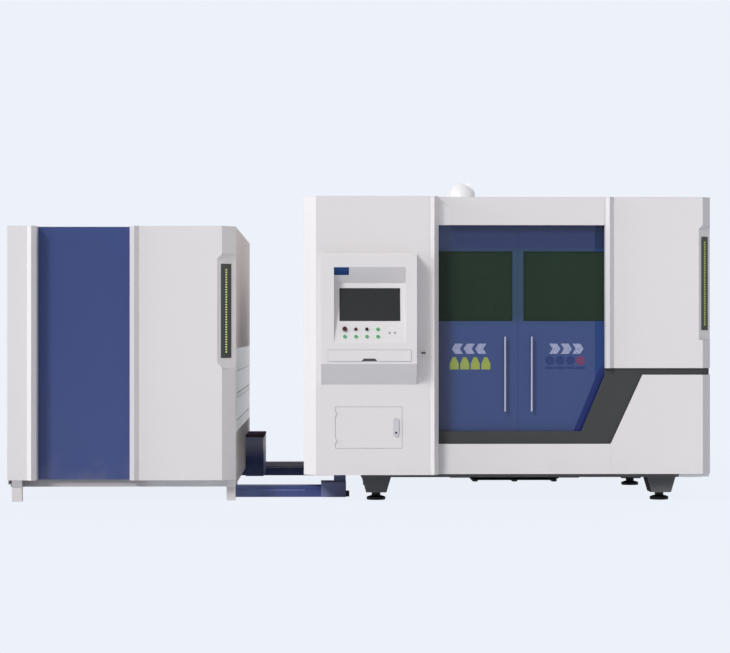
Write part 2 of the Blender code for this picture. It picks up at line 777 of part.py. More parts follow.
def make_main_roof():
    rib_middle = LEFT_RIB + RIB_WIDTH / 2
    right_rib_left = OPENING_RIGHT
    outline = plan([
        (MAIN_LEFT, MAIN_DEPTH),
        (MAIN_LEFT, LEFT_CHAMFER),
        (MAIN_LEFT + LEFT_CHAMFER, 0.0),
        (COLUMN_RIGHT, 0.0),
        (COLUMN_RIGHT, RIB_RISE),
        (LEFT_RIB, RIB_RISE),
        (rib_middle, 0.0),
        (OPENING_LEFT, RIB_RISE),
        (OPENING_LEFT, SETBACK),
        (right_rib_left, SETBACK),
        (right_rib_left + RIB_WIDTH / 2, SETBACK - RIB_RISE),
        (right_rib_left + RIB_WIDTH, SETBACK),
        (MAIN_RIGHT - RIGHT_CHAMFER, SETBACK),
        (MAIN_RIGHT, SETBACK + RIGHT_CHAMFER),
        (MAIN_RIGHT, MAIN_DEPTH),
    ])
    roof = finish("main_roof", prism("Z", outline, MAIN_TOP - SHEET, MAIN_TOP), WHITE)
    inset = 4 * HOOD_SHEET
    across = (HOOD_X - HOOD_WIDTH / 2 + inset, HOOD_X + HOOD_WIDTH / 2 - inset)
    along = (at_depth(HOOD_DEPTH + HOOD_WIDTH / 2), at_depth(HOOD_DEPTH + HOOD_LENGTH - inset))
    cut(roof, block(across, along, (MAIN_TOP - SHEET - RUN, MAIN_TOP + RUN)), "outlet")


def make_roof_hood():
    """A round-topped hood with a domed nose, open underneath."""
    shape = bmesh.new()
    radius = HOOD_WIDTH / 2
    wall = HOOD_HEIGHT - radius
    arch_steps = 10
    nose_steps = 4
    stations = []
    for step in range(nose_steps + 1):
        swing = math.radians(90) * step / nose_steps
        reach = max(math.sin(swing), HOOD_TIP_SHARE)
        stations.append((radius * (1 - math.cos(swing)), reach))
    stations.append((HOOD_LENGTH, 1.0))
    rings = []
    base = MAIN_TOP + CLEAR
    for depth, reach in stations:
        points = [(-radius * reach, 0.0)]
        for step in range(arch_steps + 1):
            swing = math.pi * step / arch_steps
            points.append((-radius * reach * math.cos(swing),
                           (wall + radius * math.sin(swing)) * reach))
        points.append((radius * reach, 0.0))
        rings.append([shape.verts.new((HOOD_X + x, at_depth(HOOD_DEPTH + depth), base + z))
                      for x, z in points])
    for near, far in zip(rings, rings[1:]):
        for index in range(len(near) - 1):
            shape.faces.new((near[index], near[index + 1], far[index + 1], far[index]))
    shape.faces.new(rings[0])
    shape.faces.new(rings[-1])
    hood = finish("roof_hood", shape, WHITE, smooth=True)
    skin = hood.modifiers.new("skin", "SOLIDIFY")
    skin.thickness = HOOD_SHEET
    skin.offset = -1.0


# Enclosure frame

def make_enclosure_frame():
    """Posts and rails that carry the covers, with the door track under the front rail."""
    post = FRAME_POST
    foot = RING_BOTTOM + RING_HEIGHT + CLEAR
    jamb_back = at_depth(DOOR_DEPTH - RUN)
    front = at_depth(FRAME_FRONT)
    rear = at_depth(INNER_REAR)
    left = (INNER_LEFT, INNER_LEFT + post)
    right = (INNER_RIGHT - post, INNER_RIGHT)
    tall = (foot, COVER_TOP - NEST)
    corner = at_depth(CORNER_BACK + CLEAR)
    rail = (COVER_TOP - post, COVER_TOP)
    side_rail = (rail[0] + NEST, rail[1] - 2 * NEST)
    track_back = at_depth(TRACK_BACK)
    frame = finish("enclosure_frame", block(left, (front, front + post), tall), CHARCOAL)
    spans = [
        (right, (corner, corner + post), tall),
        (left, (rear - post, rear), tall),
        (right, (rear - post, rear), tall),
        (JAMB_LEFT, (at_depth(SETBACK + CLEAR), jamb_back), tall),
        (JAMB_RIGHT, (at_depth(SETBACK + BAND_SETBACK + BAND_THICK + CLEAR), jamb_back), tall),
        ((INNER_LEFT + NEST, MAIN_RIGHT - RIGHT_CHAMFER),
         (at_depth(RING_FRONT), track_back + NEST), rail),
        ((INNER_LEFT + NEST, INNER_RIGHT - NEST), (rear - post + NEST, rear - NEST), rail),
        ((left[0] + 2 * NEST, left[1] - NEST), (front + NEST, rear - 2 * NEST), side_rail),
        ((right[0] + NEST, right[1] - 2 * NEST), (corner + NEST, rear - 2 * NEST), side_rail),
        ((MAIN_RIGHT - RIGHT_CHAMFER - post, right[1] - 3 * NEST),
         (corner - 2 * NEST, corner + post - NEST), (rail[0] + 2 * NEST, rail[1] - 3 * NEST)),
        (TRACK_ENDS, (at_depth(DOOR_DEPTH), track_back), (DOOR_TOP + CLEAR, rail[1] - NEST)),
        (TRACK_ENDS, (jamb_back - RUN, track_back),
         (DOOR_BOTTOM - CLEAR - post, DOOR_BOTTOM - CLEAR)),
    ]
    for depth in SIDE_POST_DEPTHS:
        place = (at_depth(depth), at_depth(depth) + post)
        spans += [(left, place, tall), (right, place, tall)]
    weld(frame, blocks(spans))


# Bed, feet and scrap trough

def beam_centre(side):
    return BED_CENTRE + side * BEAM_SPACING / 2


def make_bed_frame():
    """The welded bed: base ring, sills, two portals, gantry beams and pallet ledges."""
    half = BEAM_WIDTH / 2
    ring = (RING_BOTTOM, RING_BOTTOM + RING_HEIGHT)
    raised = RING_BOTTOM + RING_RAISE
    front = at_depth(RING_FRONT)
    rear = at_depth(INNER_REAR)
    wide = (INNER_LEFT, INNER_RIGHT)
    run = (at_depth(BED_FRONT), at_depth(BED_REAR))
    corner = at_depth(SETBACK + RIGHT_CHAMFER + SHEET)
    low_left = beam_centre(-1) - BRACKET_TOP_WIDTH / 2 + NEST
    face = (low_left, MAIN_RIGHT - RIGHT_CHAMFER)
    low_ring = (ring[0], ring[1] - NEST)
    high_part = (wide[0] + NEST, low_left + RING_WIDTH)
    high_ring = (raised + 2 * NEST, ring[1] - 2 * NEST)
    frame = finish("bed_frame", block(face, (front, front + RING_WIDTH), low_ring), CHARCOAL)
    spans = [
        ((low_left, wide[1]), (rear - RING_WIDTH, rear), low_ring),
        (high_part, (front + NEST, front + RING_WIDTH - NEST), high_ring),
        (high_part, (rear - RING_WIDTH + NEST, rear - NEST), high_ring),
        ((wide[0], wide[0] + RING_WIDTH), (front + 2 * NEST, rear - 2 * NEST),
         (raised + NEST, ring[1])),
        ((wide[1] - RING_WIDTH, wide[1] - NEST), (corner, rear - NEST), (ring[0] + NEST, ring[1])),
    ]
    for depth in (TIE_FRONT_DEPTH, TIE_REAR_DEPTH):
        near = at_depth(depth)
        far = near + RING_WIDTH
        spans += [
            ((low_left, wide[1] - 2 * NEST), (near, far), (ring[0], ring[1] - 3 * NEST)),
            ((wide[0] + 2 * NEST, low_left + RING_WIDTH), (near + NEST, far - NEST),
             (raised, ring[1] - 4 * NEST)),
        ]
    for side in (-1, 1):
        middle = beam_centre(side)
        across = (middle - half, middle + half)
        spans += [
            (across, (front + 2 * NEST, rear - 2 * NEST), (SILL_BEAM_BOTTOM, SILL_BEAM_TOP)),
            (across, run, (BEAM_BOTTOM, BEAM_TOP)),
        ]
    inner = (beam_centre(-1), beam_centre(1))
    for low, high, toward in PORTALS:
        wall = (at_depth(low), at_depth(high))
        spans.append((inner, wall, (SILL_BEAM_BOTTOM + NEST, UPPER_LEVEL - NEST)))
        for side in (-1, 1):
            middle = beam_centre(side)
            across = (middle - half + NEST, middle + half - NEST)
            spans.append((across, (wall[0] + NEST, wall[1] - NEST),
                          (SILL_BEAM_BOTTOM + 2 * NEST, BEAM_TOP - NEST)))
        edge = high if toward > 0 else low
        reach = sorted((at_depth(edge - toward * RUN), at_depth(edge + toward * LEDGE_OUT)))
        for level in (LOWER_LEVEL, UPPER_LEVEL):
            spans.append(((inner[0] + NEST, inner[1] - NEST), reach, (level - LEDGE_THICK, level)))
    weld(frame, blocks(spans))
    rails = bmesh.new()
    for side in (-1, 1):
        middle = beam_centre(side)
        top = BEAM_TOP + GUIDE_HEIGHT
        outline = [
            (middle - GUIDE_WIDTH / 2, BEAM_TOP - RUN),
            (middle + GUIDE_WIDTH / 2, BEAM_TOP - RUN),
            (middle + GUIDE_WIDTH / 2, BEAM_TOP + GUIDE_HEIGHT / 3),
            (middle + GUIDE_WAIST / 2, BEAM_TOP + GUIDE_HEIGHT / 2),
            (middle + GUIDE_WIDTH / 2, BEAM_TOP + GUIDE_HEIGHT * 2 / 3),
            (middle + GUIDE_WIDTH / 2, top),
            (middle - GUIDE_WIDTH / 2, top),
            (middle - GUIDE_WIDTH / 2, BEAM_TOP + GUIDE_HEIGHT * 2 / 3),
            (middle - GUIDE_WAIST / 2, BEAM_TOP + GUIDE_HEIGHT / 2),
            (middle - GUIDE_WIDTH / 2, BEAM_TOP + GUIDE_HEIGHT / 3),
        ]
        add_prism(rails, "Y", outline, run[0] + RUN, run[1] - RUN)
    weld(frame, rails, "guides")
    brackets = bmesh.new()
    for side in (-1, 1):
        middle = beam_centre(side)
        outline = [
            (middle - BRACKET_TOP_WIDTH / 2, SILL_BEAM_BOTTOM),
            (middle - BRACKET_BOTTOM_WIDTH / 2, BRACKET_BOTTOM),
            (middle + BRACKET_BOTTOM_WIDTH / 2, BRACKET_BOTTOM),
            (middle + BRACKET_TOP_WIDTH / 2, SILL_BEAM_BOTTOM),
            (middle + BRACKET_TOP_WIDTH / 2, SILL_BEAM_BOTTOM + BRACKET_FLANGE),
            (middle - BRACKET_TOP_WIDTH / 2, SILL_BEAM_BOTTOM + BRACKET_FLANGE),
        ]
        for depth in FOOT_DEPTHS:
            start = at_depth(depth - BRACKET_DEPTH / 2)
            add_prism(brackets, "Y", outline, start, start + BRACKET_DEPTH)
    weld(frame, brackets, "brackets")


def make_feet():
    """Levelling feet: a chamfered disc under a threaded stem."""
    profile = [
        (0, 0), (FOOT_DIAMETER / 2 - FOOT_CHAMFER, 0), (FOOT_DIAMETER / 2, FOOT_CHAMFER),
        (FOOT_DIAMETER / 2, FOOT_PLATE), (FOOT_STEM / 2 + FOOT_COLLAR, FOOT_PLATE + FOOT_DOME),
        (FOOT_STEM / 2, FOOT_PLATE + FOOT_DOME), (FOOT_STEM / 2, BRACKET_BOTTOM - CLEAR),
        (0, BRACKET_BOTTOM - CLEAR),
    ]
    rows = ("front", "middle", "rear")
    for side, hand in ((-1, "left"), (1, "right")):
        for row, depth in zip(rows, FOOT_DEPTHS):
            place = Matrix.Translation((beam_centre(side), at_depth(depth), 0.0))
            shape = turned(profile, 16, place)
            finish(f"foot_{row}_{hand}", shape, BLACK, smooth=True)


def make_scrap_trough():
    """The trough that hangs under the ring's cross members and carries slag to the rear."""
    top = RING_BOTTOM - CLEAR
    middle = BED_CENTRE
    path = [
        (middle - TROUGH_WIDTH / 2, top),
        (middle - TROUGH_WIDTH / 2, TROUGH_FLANGE),
        (middle - TROUGH_TOP_WIDTH / 2, TROUGH_FLANGE),
        (middle - TROUGH_FLOOR_WIDTH / 2, TROUGH_FLOOR),
        (middle + TROUGH_FLOOR_WIDTH / 2, TROUGH_FLOOR),
        (middle + TROUGH_TOP_WIDTH / 2, TROUGH_FLANGE),
        (middle + TROUGH_WIDTH / 2, TROUGH_FLANGE),
        (middle + TROUGH_WIDTH / 2, top),
    ]
    ends = (at_depth(TIE_FRONT_DEPTH), at_depth(INNER_REAR))
    trough = finish("scrap_trough", prism("Y", folded(path, TROUGH_SHEET), *ends), CHARCOAL)
    skids = bmesh.new()
    for index in range(TROUGH_SKIDS):
        x = middle + TROUGH_FLOOR_WIDTH * (index / (TROUGH_SKIDS - 1) - 1 / 2)
        outline = [
            (x - TROUGH_SKID_WIDTH / 2, TROUGH_FLOOR + TROUGH_SHEET / 2),
            (x - TROUGH_SKID_SOLE / 2, TROUGH_FLOOR - TROUGH_SKID_DROP),
            (x + TROUGH_SKID_SOLE / 2, TROUGH_FLOOR - TROUGH_SKID_DROP),
            (x + TROUGH_SKID_WIDTH / 2, TROUGH_FLOOR + TROUGH_SHEET / 2),
        ]
        add_prism(skids, "Y", outline, ends[0] + RUN, ends[1] - RUN)
    weld(trough, skids, "skids")


# Operator console

def on_panel(across, up, out=0.0):
    """Places something on the tilted control panel, its Z axis facing the operator."""
    corner = Vector((RECESS_X, CONSOLE_FACE, RECESS_BOTTOM))
    turn = Matrix.Rotation(math.radians(90) - PANEL_TILT, 4, "X")
    return Matrix.Translation(corner) @ turn @ Matrix.Translation((across, up, out))


def button_place(column, row):
    up = BUTTON_ROW_LOW if row == 0 else BUTTON_ROW_HIGH
    return BUTTON_FIRST + column * BUTTON_PITCH, up


def make_console_housing():
    """The console's body, its screen recess, drawer passage, screen pocket and button holes."""
    face = CONSOLE_FACE
    back = at_depth(-CLEAR)
    outline = [
        (face, CONSOLE_LOW_FRONT), (back, CONSOLE_LOW_BACK),
        (back, CONSOLE_TOP), (face + CONSOLE_BEVEL, CONSOLE_TOP),
        (face, CONSOLE_TOP - CONSOLE_BEVEL),
    ]
    shape = prism("X", outline, CONSOLE_X, CONSOLE_RIGHT)
    housing = finish("console_housing", shape, WHITE)
    recess = [
        (face - RUN, RECESS_BOTTOM - RUN * (RECESS_BEND - RECESS_BOTTOM) / RECESS_DEEP),
        (face + RECESS_DEEP, RECESS_BEND),
        (face, RECESS_TOP),
        (face - RUN, RECESS_TOP),
    ]
    cut(housing, prism("X", recess, RECESS_X, RECESS_X + RECESS_WIDTH), "recess")
    mouth = (CONSOLE_X + DRAWER_LEFT - DRAWER_GAP,
             CONSOLE_X + DRAWER_LEFT + DRAWER_WIDTH + DRAWER_GAP)
    spans = ((face - RUN, face + DRAWER_FACE), (DRAWER_LOW - DRAWER_GAP, DRAWER_HIGH + DRAWER_GAP))
    cut(housing, block(mouth, *spans), "mouth")
    tray = (CONSOLE_X + DRAWER_LEFT + DRAWER_TRAY_INSET - RUN,
            CONSOLE_X + DRAWER_LEFT + DRAWER_WIDTH - DRAWER_TRAY_INSET + RUN)
    cut(housing, block(tray, (face, face + DRAWER_REACH + RUN),
                        (DRAWER_LOW, DRAWER_HIGH)), "passage")
    pocket = bmesh.new()
    add_block(pocket, (-CLEAR, SCREEN_WIDTH + CLEAR), (-CLEAR, SCREEN_HEIGHT + CLEAR),
              (-SCREEN_THICK - CLEAR, SCREEN_THICK))
    place = on_panel(SCREEN_LEFT, SCREEN_UP)
    bmesh.ops.transform(pocket, matrix=place, verts=pocket.verts)
    cut(housing, pocket, "pocket")
    holes = bmesh.new()
    depth = BUTTON_SINK + BUTTON_HOLE_EXTRA
    radius = BUTTON_DIAMETER / 2 + CLEAR
    profile = [(0, -depth), (radius, -depth), (radius, SCREEN_THICK), (0, SCREEN_THICK)]
    for row in range(2):
        for column in range(BUTTON_COLUMNS):
            add_turned(holes, profile, 16, on_panel(*button_place(column, row)))
    cut(housing, holes, "holes")
    peg = rod(PEG_DIAMETER / 2, (CONSOLE_RIGHT - RUN, at_depth(-PEG_DEPTH), PEG_HEIGHT),
              (CONSOLE_RIGHT + PEG_LENGTH, at_depth(-PEG_DEPTH), PEG_HEIGHT), 10)
    weld(housing, peg, "peg")


def make_console_screen():
    shape = bmesh.new()
    add_block(shape, (0, SCREEN_WIDTH), (0, SCREEN_HEIGHT), (-SCREEN_THICK, SCREEN_PROUD))
    place = on_panel(SCREEN_LEFT, SCREEN_UP)
    bmesh.ops.transform(shape, matrix=place, verts=shape.verts)
    finish("console_screen", shape, SCREEN_GLASS)


def make_button(name, column, row, material, cap):
    """One push button, whose stem fills its hole; the cap's profile stands on the panel."""
    radius = BUTTON_DIAMETER / 2
    profile = [(0, -BUTTON_SINK), (radius, -BUTTON_SINK)] + cap
    place = on_panel(*button_place(column, row))
    shape = turned(profile, 16, place)
    finish(name, shape, material, pivot=place.translation, smooth=True)


def make_buttons():
    radius = BUTTON_DIAMETER / 2
    edge = BUTTON_EDGE
    flat = [(radius, BUTTON_PROUD - edge), (radius - edge, BUTTON_PROUD), (0, BUTTON_PROUD)]
    stop = STOP_DIAMETER / 2
    mushroom = [(radius, STOP_PROUD / 2), (stop - edge, STOP_PROUD / 2),
                (stop, STOP_PROUD / 2 + edge), (stop, STOP_PROUD - STOP_DOME + edge / 2),
                (stop - STOP_DOME, STOP_PROUD), (0, STOP_PROUD)]
    make_button("emergency_stop", 0, 1, RED, mushroom)
    make_button("stop_button", 1, 1, RED, flat)
    make_button("start_button", 3, 1, GREEN, flat)
    for column, name in enumerate(("laser_on", "gas_on", "light_on", "reset")):
        make_button(f"{name}_button", column, 0, GREEN, flat)
    barrel = [(radius, KEY_BARREL - edge), (radius - edge, KEY_BARREL), (0, KEY_BARREL)]
    make_button("key_switch", 2, 1, BLACK, barrel)
    knob = bmesh.new()
    add_block(knob, (-KEY_GRIP_WIDTH / 2, KEY_GRIP_WIDTH / 2), (-radius + edge, radius - edge),
              (KEY_BARREL - edge, KEY_BARREL - edge + KEY_GRIP_PROUD))
    place = on_panel(*button_place(2, 1))
    bmesh.ops.transform(knob, matrix=place, verts=knob.verts)
    weld(bpy.data.objects["key_switch"], knob, "knob")


def make_keyboard_drawer():
    """The drawer's front with its pull, and the open tray behind it."""
    left = CONSOLE_X + DRAWER_LEFT
    right = left + DRAWER_WIDTH
    face = CONSOLE_FACE - DRAWER_PROUD
    inner = CONSOLE_FACE + DRAWER_FACE - CLEAR
    middle = (left + right) / 2
    outline = [
        (left, DRAWER_LOW), (middle - PULL_WIDTH / 2, DRAWER_LOW),
        (middle - PULL_WIDTH / 2 + PULL_SLOPE, DRAWER_LOW + PULL_HEIGHT),
        (middle + PULL_WIDTH / 2 - PULL_SLOPE, DRAWER_LOW + PULL_HEIGHT),
        (middle + PULL_WIDTH / 2, DRAWER_LOW), (right, DRAWER_LOW),
        (right, DRAWER_HIGH), (left, DRAWER_HIGH),
    ]
    drawer = finish("keyboard_drawer", prism("Y", outline, face, inner), WHITE)
    low = DRAWER_LOW + PULL_HEIGHT + RUN
    far = CONSOLE_FACE + DRAWER_REACH
    sides = (left + DRAWER_TRAY_INSET, right - DRAWER_TRAY_INSET)
    tray = block(sides, (inner - RUN, far), (low, low + DRAWER_TRAY_HEIGHT))
    weld(drawer, tray, "tray")
    space = block((sides[0] + DRAWER_WALL, sides[1] - DRAWER_WALL),
                  (inner + CLEAR, far - DRAWER_WALL), (low + DRAWER_WALL, DRAWER_HIGH + RUN))
    cut(drawer, space, "space")


# Maintenance door

def make_maintenance_door():
    """The lower hatch of the column: a folded tray hinged on its left edge."""
    left = MAIN_LEFT + HATCH_LEFT
    right = left + HATCH_WIDTH
    hinge = hinge_line((HATCH_LOW + HATCH_HIGH) / 2)
    shape = block((left, right), (at_depth(0.0), at_depth(HATCH_THICK)), (HATCH_LOW, HATCH_HIGH))
    door = finish("maintenance_door", shape, WHITE, pivot=hinge)
    hollow = block((left + SHEET, right - SHEET), (at_depth(SHEET), at_depth(HATCH_THICK + RUN)),
                   (HATCH_LOW + SHEET, HATCH_HIGH - SHEET))
    cut(door, hollow, "hollow")
    for index, split in enumerate(hinge_heights()):
        weld(door, knuckle(1, split, split + HINGE_HEIGHT), f"knuckle_{index}")


def oblong(centre, low, high, radius):
    """An upright outline with round ends."""
    outline = []
    for middle, start in ((high - radius, 0.0), (low + radius, math.pi)):
        for step in range(9):
            swing = start + math.pi * step / 8
            outline.append((centre + radius * math.cos(swing), middle + radius * math.sin(swing)))
    return outline


def make_maintenance_latch():
    """An oblong paddle latch on a thin rim, which lifts about a pin near its foot."""
    centre = MAIN_LEFT + HATCH_LEFT + HATCH_WIDTH - LATCH_INSET
    radius = LATCH_WIDTH / 2
    near = at_depth(-CLEAR - LATCH_THICK)
    back = at_depth(-CLEAR)
    pin = (centre, at_depth(-CLEAR - LATCH_THICK / 2), LATCH_LOW)
    rim = prism("Y", oblong(centre, LATCH_LOW, LATCH_HIGH, radius), back - LATCH_RIM_THICK, back)
    latch = finish("maintenance_latch", rim, STEEL, pivot=pin)
    paddle = oblong(centre, LATCH_LOW + LATCH_RIM, LATCH_HIGH - LATCH_RIM, radius - LATCH_RIM)
    weld(latch, prism("Y", paddle, near, back - LATCH_RIM_THICK / 2), "paddle")
    turn = Matrix.Rotation(math.radians(90), 4, "X")
    hole = [(0, -KEYHOLE_DEEP), (KEYHOLE_DIAMETER / 2, -KEYHOLE_DEEP),
            (KEYHOLE_DIAMETER / 2, RUN), (0, RUN)]
    place = Matrix.Translation((centre, near, KEYHOLE_HEIGHT)) @ turn
    cut(latch, turned(hole, 16, place), "keyhole")
    notch = block((centre - LATCH_NOTCH_WIDTH / 2, centre + LATCH_NOTCH_WIDTH / 2),
                  (near - RUN, near + KEYHOLE_DEEP),
                  (LATCH_HIGH - LATCH_RIM - LATCH_NOTCH_HEIGHT, LATCH_HIGH + RUN))
    cut(latch, notch, "notch")


# Sliding doors

def make_door(hand, side):
    """One sliding door with its window and its bar handle."""
    meeting = DOOR_MEETING + side * DOOR_GAP / 2
    edge = OPENING_LEFT if side < 0 else OPENING_RIGHT
    outer = edge + side * DOOR_HIDDEN
    depths = (at_depth(DOOR_DEPTH), at_depth(DOOR_DEPTH + DOOR_THICK))
    leaf = finish(f"{hand}_door", block(sorted((meeting, outer)), depths, (DOOR_BOTTOM, DOOR_TOP)),
                  BLUE)
    glass = sorted((meeting + side * DOOR_MEETING_STILE, outer - side * DOOR_OUTER_STILE))
    through = (depths[0] - RUN, depths[1] + RUN)
    cut(leaf, block(glass, through, (WINDOW_LOW, WINDOW_HIGH)), "glazing")
    middle = at_depth(DOOR_DEPTH + DOOR_THICK / 2)
    pane = block((glass[0] + CLEAR, glass[1] - CLEAR),
                 (middle - WINDOW_THICK / 2, middle + WINDOW_THICK / 2),
                 (WINDOW_LOW + CLEAR, WINDOW_HIGH - CLEAR))
    finish(f"{hand}_door_window", pane, GREEN_GLASS)
    x = DOOR_MEETING + side * HANDLE_FROM_MEETING
    y = at_depth(DOOR_DEPTH - HANDLE_STAND)
    bar = rod(HANDLE_DIAMETER / 2, (x, y, HANDLE_LOW), (x, y, HANDLE_HIGH))
    handle = finish(f"{hand}_door_handle", bar, STEEL, smooth=True)
    posts = bmesh.new()
    for z in (HANDLE_LOW + HANDLE_INSET, HANDLE_HIGH - HANDLE_INSET):
        turn = Matrix.Rotation(math.radians(-90), 4, "X")
        profile = [(0, 0), (HANDLE_POST / 2, 0), (HANDLE_POST / 2, HANDLE_STAND - CLEAR),
                   (0, HANDLE_STAND - CLEAR)]
        add_turned(posts, profile, 10, Matrix.Translation((x, y, z)) @ turn)
    weld(handle, posts, "posts")


# Gantry, carriage and head

def make_gantry_beam():
    """The beam across the bed, on two saddles that ride the guides."""
    low = BEAM_TOP + GUIDE_HEIGHT + GANTRY_LIFT
    high = low + GANTRY_HEIGHT
    near = at_depth(HEAD_DEPTH + GANTRY_BEHIND)
    far = near + GANTRY_THICK
    slope = GANTRY_THICK / 4
    outline = [
        (near, low), (far - slope, low), (far, low + slope), (far, high - slope),
        (far - slope, high), (near, high),
    ]
    ends = (beam_centre(-1) - SADDLE_WIDTH / 2, beam_centre(1) + SADDLE_WIDTH / 2)
    beam = finish("gantry_beam", prism("X", outline, *ends), GANTRY_GREY)
    saddles = bmesh.new()
    middle = (near + far) / 2
    for side in (-1, 1):
        x = beam_centre(side)
        add_block(saddles, (x - SADDLE_WIDTH / 2, x + SADDLE_WIDTH / 2),
                  (middle - SADDLE_LENGTH / 2, middle + SADDLE_LENGTH / 2),
                  (BEAM_TOP + GUIDE_HEIGHT + CLEAR, low + RUN))
    for z in (low + X_RAIL_INSET, high - X_RAIL_INSET - X_RAIL_HEIGHT):
        add_block(saddles, (ends[0] + SADDLE_WIDTH, ends[1] - SADDLE_WIDTH),
                  (near - X_RAIL_OUT, near + RUN), (z, z + X_RAIL_HEIGHT))
    weld(beam, saddles, "saddles")


def make_x_carriage():
    """The carriage: a plate on the beam's rails and a hood round the vertical axis."""
    left = HEAD_X - CARRIAGE_WIDTH / 2
    right = HEAD_X + CARRIAGE_WIDTH / 2
    back = at_depth(HEAD_DEPTH + GANTRY_BEHIND) - X_RAIL_OUT - CLEAR
    near = at_depth(HEAD_DEPTH - CARRIAGE_FRONT)
    plate = back - CARRIAGE_PLATE
    outline = [(left, near), (left, back), (right, back), (right, near),
               (right - CARRIAGE_CHEEK, near), (right - CARRIAGE_CHEEK, plate),
               (left + CARRIAGE_CHEEK, plate), (left + CARRIAGE_CHEEK, near)]
    shape = prism("Z", outline, CARRIAGE_BOTTOM, CARRIAGE_TOP)
    carriage = finish("x_carriage", shape, WHITE)
    lid = block((left + RUN, right - RUN), (near + RUN, back - RUN),
                (CARRIAGE_TOP - CARRIAGE_CHEEK, CARRIAGE_TOP - RUN / 2))
    weld(carriage, lid, "lid")


def make_cutting_head():
    """The vertical slide with the laser head and its nozzle."""
    back = at_depth(HEAD_DEPTH + GANTRY_BEHIND) - X_RAIL_OUT - CLEAR - CARRIAGE_PLATE
    left = HEAD_X - CARRIAGE_WIDTH / 2 + CARRIAGE_CHEEK + HEAD_BLOCK_GAP
    right = HEAD_X + CARRIAGE_WIDTH / 2 - CARRIAGE_CHEEK - HEAD_BLOCK_GAP
    shape = block((left, right), (back - CLEAR - HEAD_BLOCK_THICK, back - CLEAR),
                  (HEAD_BLOCK_LOW, HEAD_BLOCK_HIGH))
    head = finish("cutting_head", shape, GANTRY_GREY)
    place = Matrix.Translation((HEAD_X, at_depth(HEAD_DEPTH), HEAD_TIP))
    weld(head, turned(HEAD_PROFILE, 16, place), "head")


# Pallets

def make_pallet(name, level):
    """A pallet frame with saw-toothed slats and the shield plate that closes its slot."""
    right = CABINET_RIGHT - SHEET
    left = right - PALLET_WIDTH
    low = level + CLEAR
    high = low + PALLET_MEMBER
    near = at_depth(PALLET_FRONT)
    far = near + PALLET_LENGTH
    beam = PALLET_MEMBER
    frame = finish(name, block((left, right), (near, near + beam), (low, high)), SLAT_STEEL)
    spans = [((left, right), (far - beam, far), (low, high))]
    steps = PALLET_CROSS_COUNT + 1
    for index in range(steps + 1):
        x = left + index * (right - left - beam) / steps
        top = high if index in (0, steps) else high - SLAT_SINK
        spans.append(((x, x + beam), (near + RUN, far - RUN), (low + RUN / 4, top - RUN / 4)))
    shield_low = level + RUN / 4
    spans.append(((right - SHEET, right + SHEET), (near - SHIELD_GAP, far + SHIELD_GAP),
                  (shield_low, shield_low + SHIELD_HEIGHT)))
    weld(frame, blocks(spans))
    weld(frame, saw_slats(left + beam / 3, right - beam / 3, near, far, high), "slats")


def saw_slats(left, right, near, far, seat):
    """Upright strips with a saw-toothed edge, evenly spaced along the pallet."""
    shape = bmesh.new()
    low = seat - SLAT_SINK
    high = low + SLAT_HEIGHT
    pitch = (right - left) / TOOTH_COUNT
    outline = [(left, low), (right, low)]
    for index in range(TOOTH_COUNT):
        x = right - index * pitch
        outline += [(x, high - TOOTH_DEPTH), (x - pitch / 2, high)]
    outline.append((left, high - TOOTH_DEPTH))
    for index in range(SLAT_COUNT):
        y = near + (far - near) * (index + 1) / (SLAT_COUNT + 1)
        add_prism(shape, "Y", outline, y - SLAT_THICK / 2, y + SLAT_THICK / 2)
    return shape


# Exchange cabinet

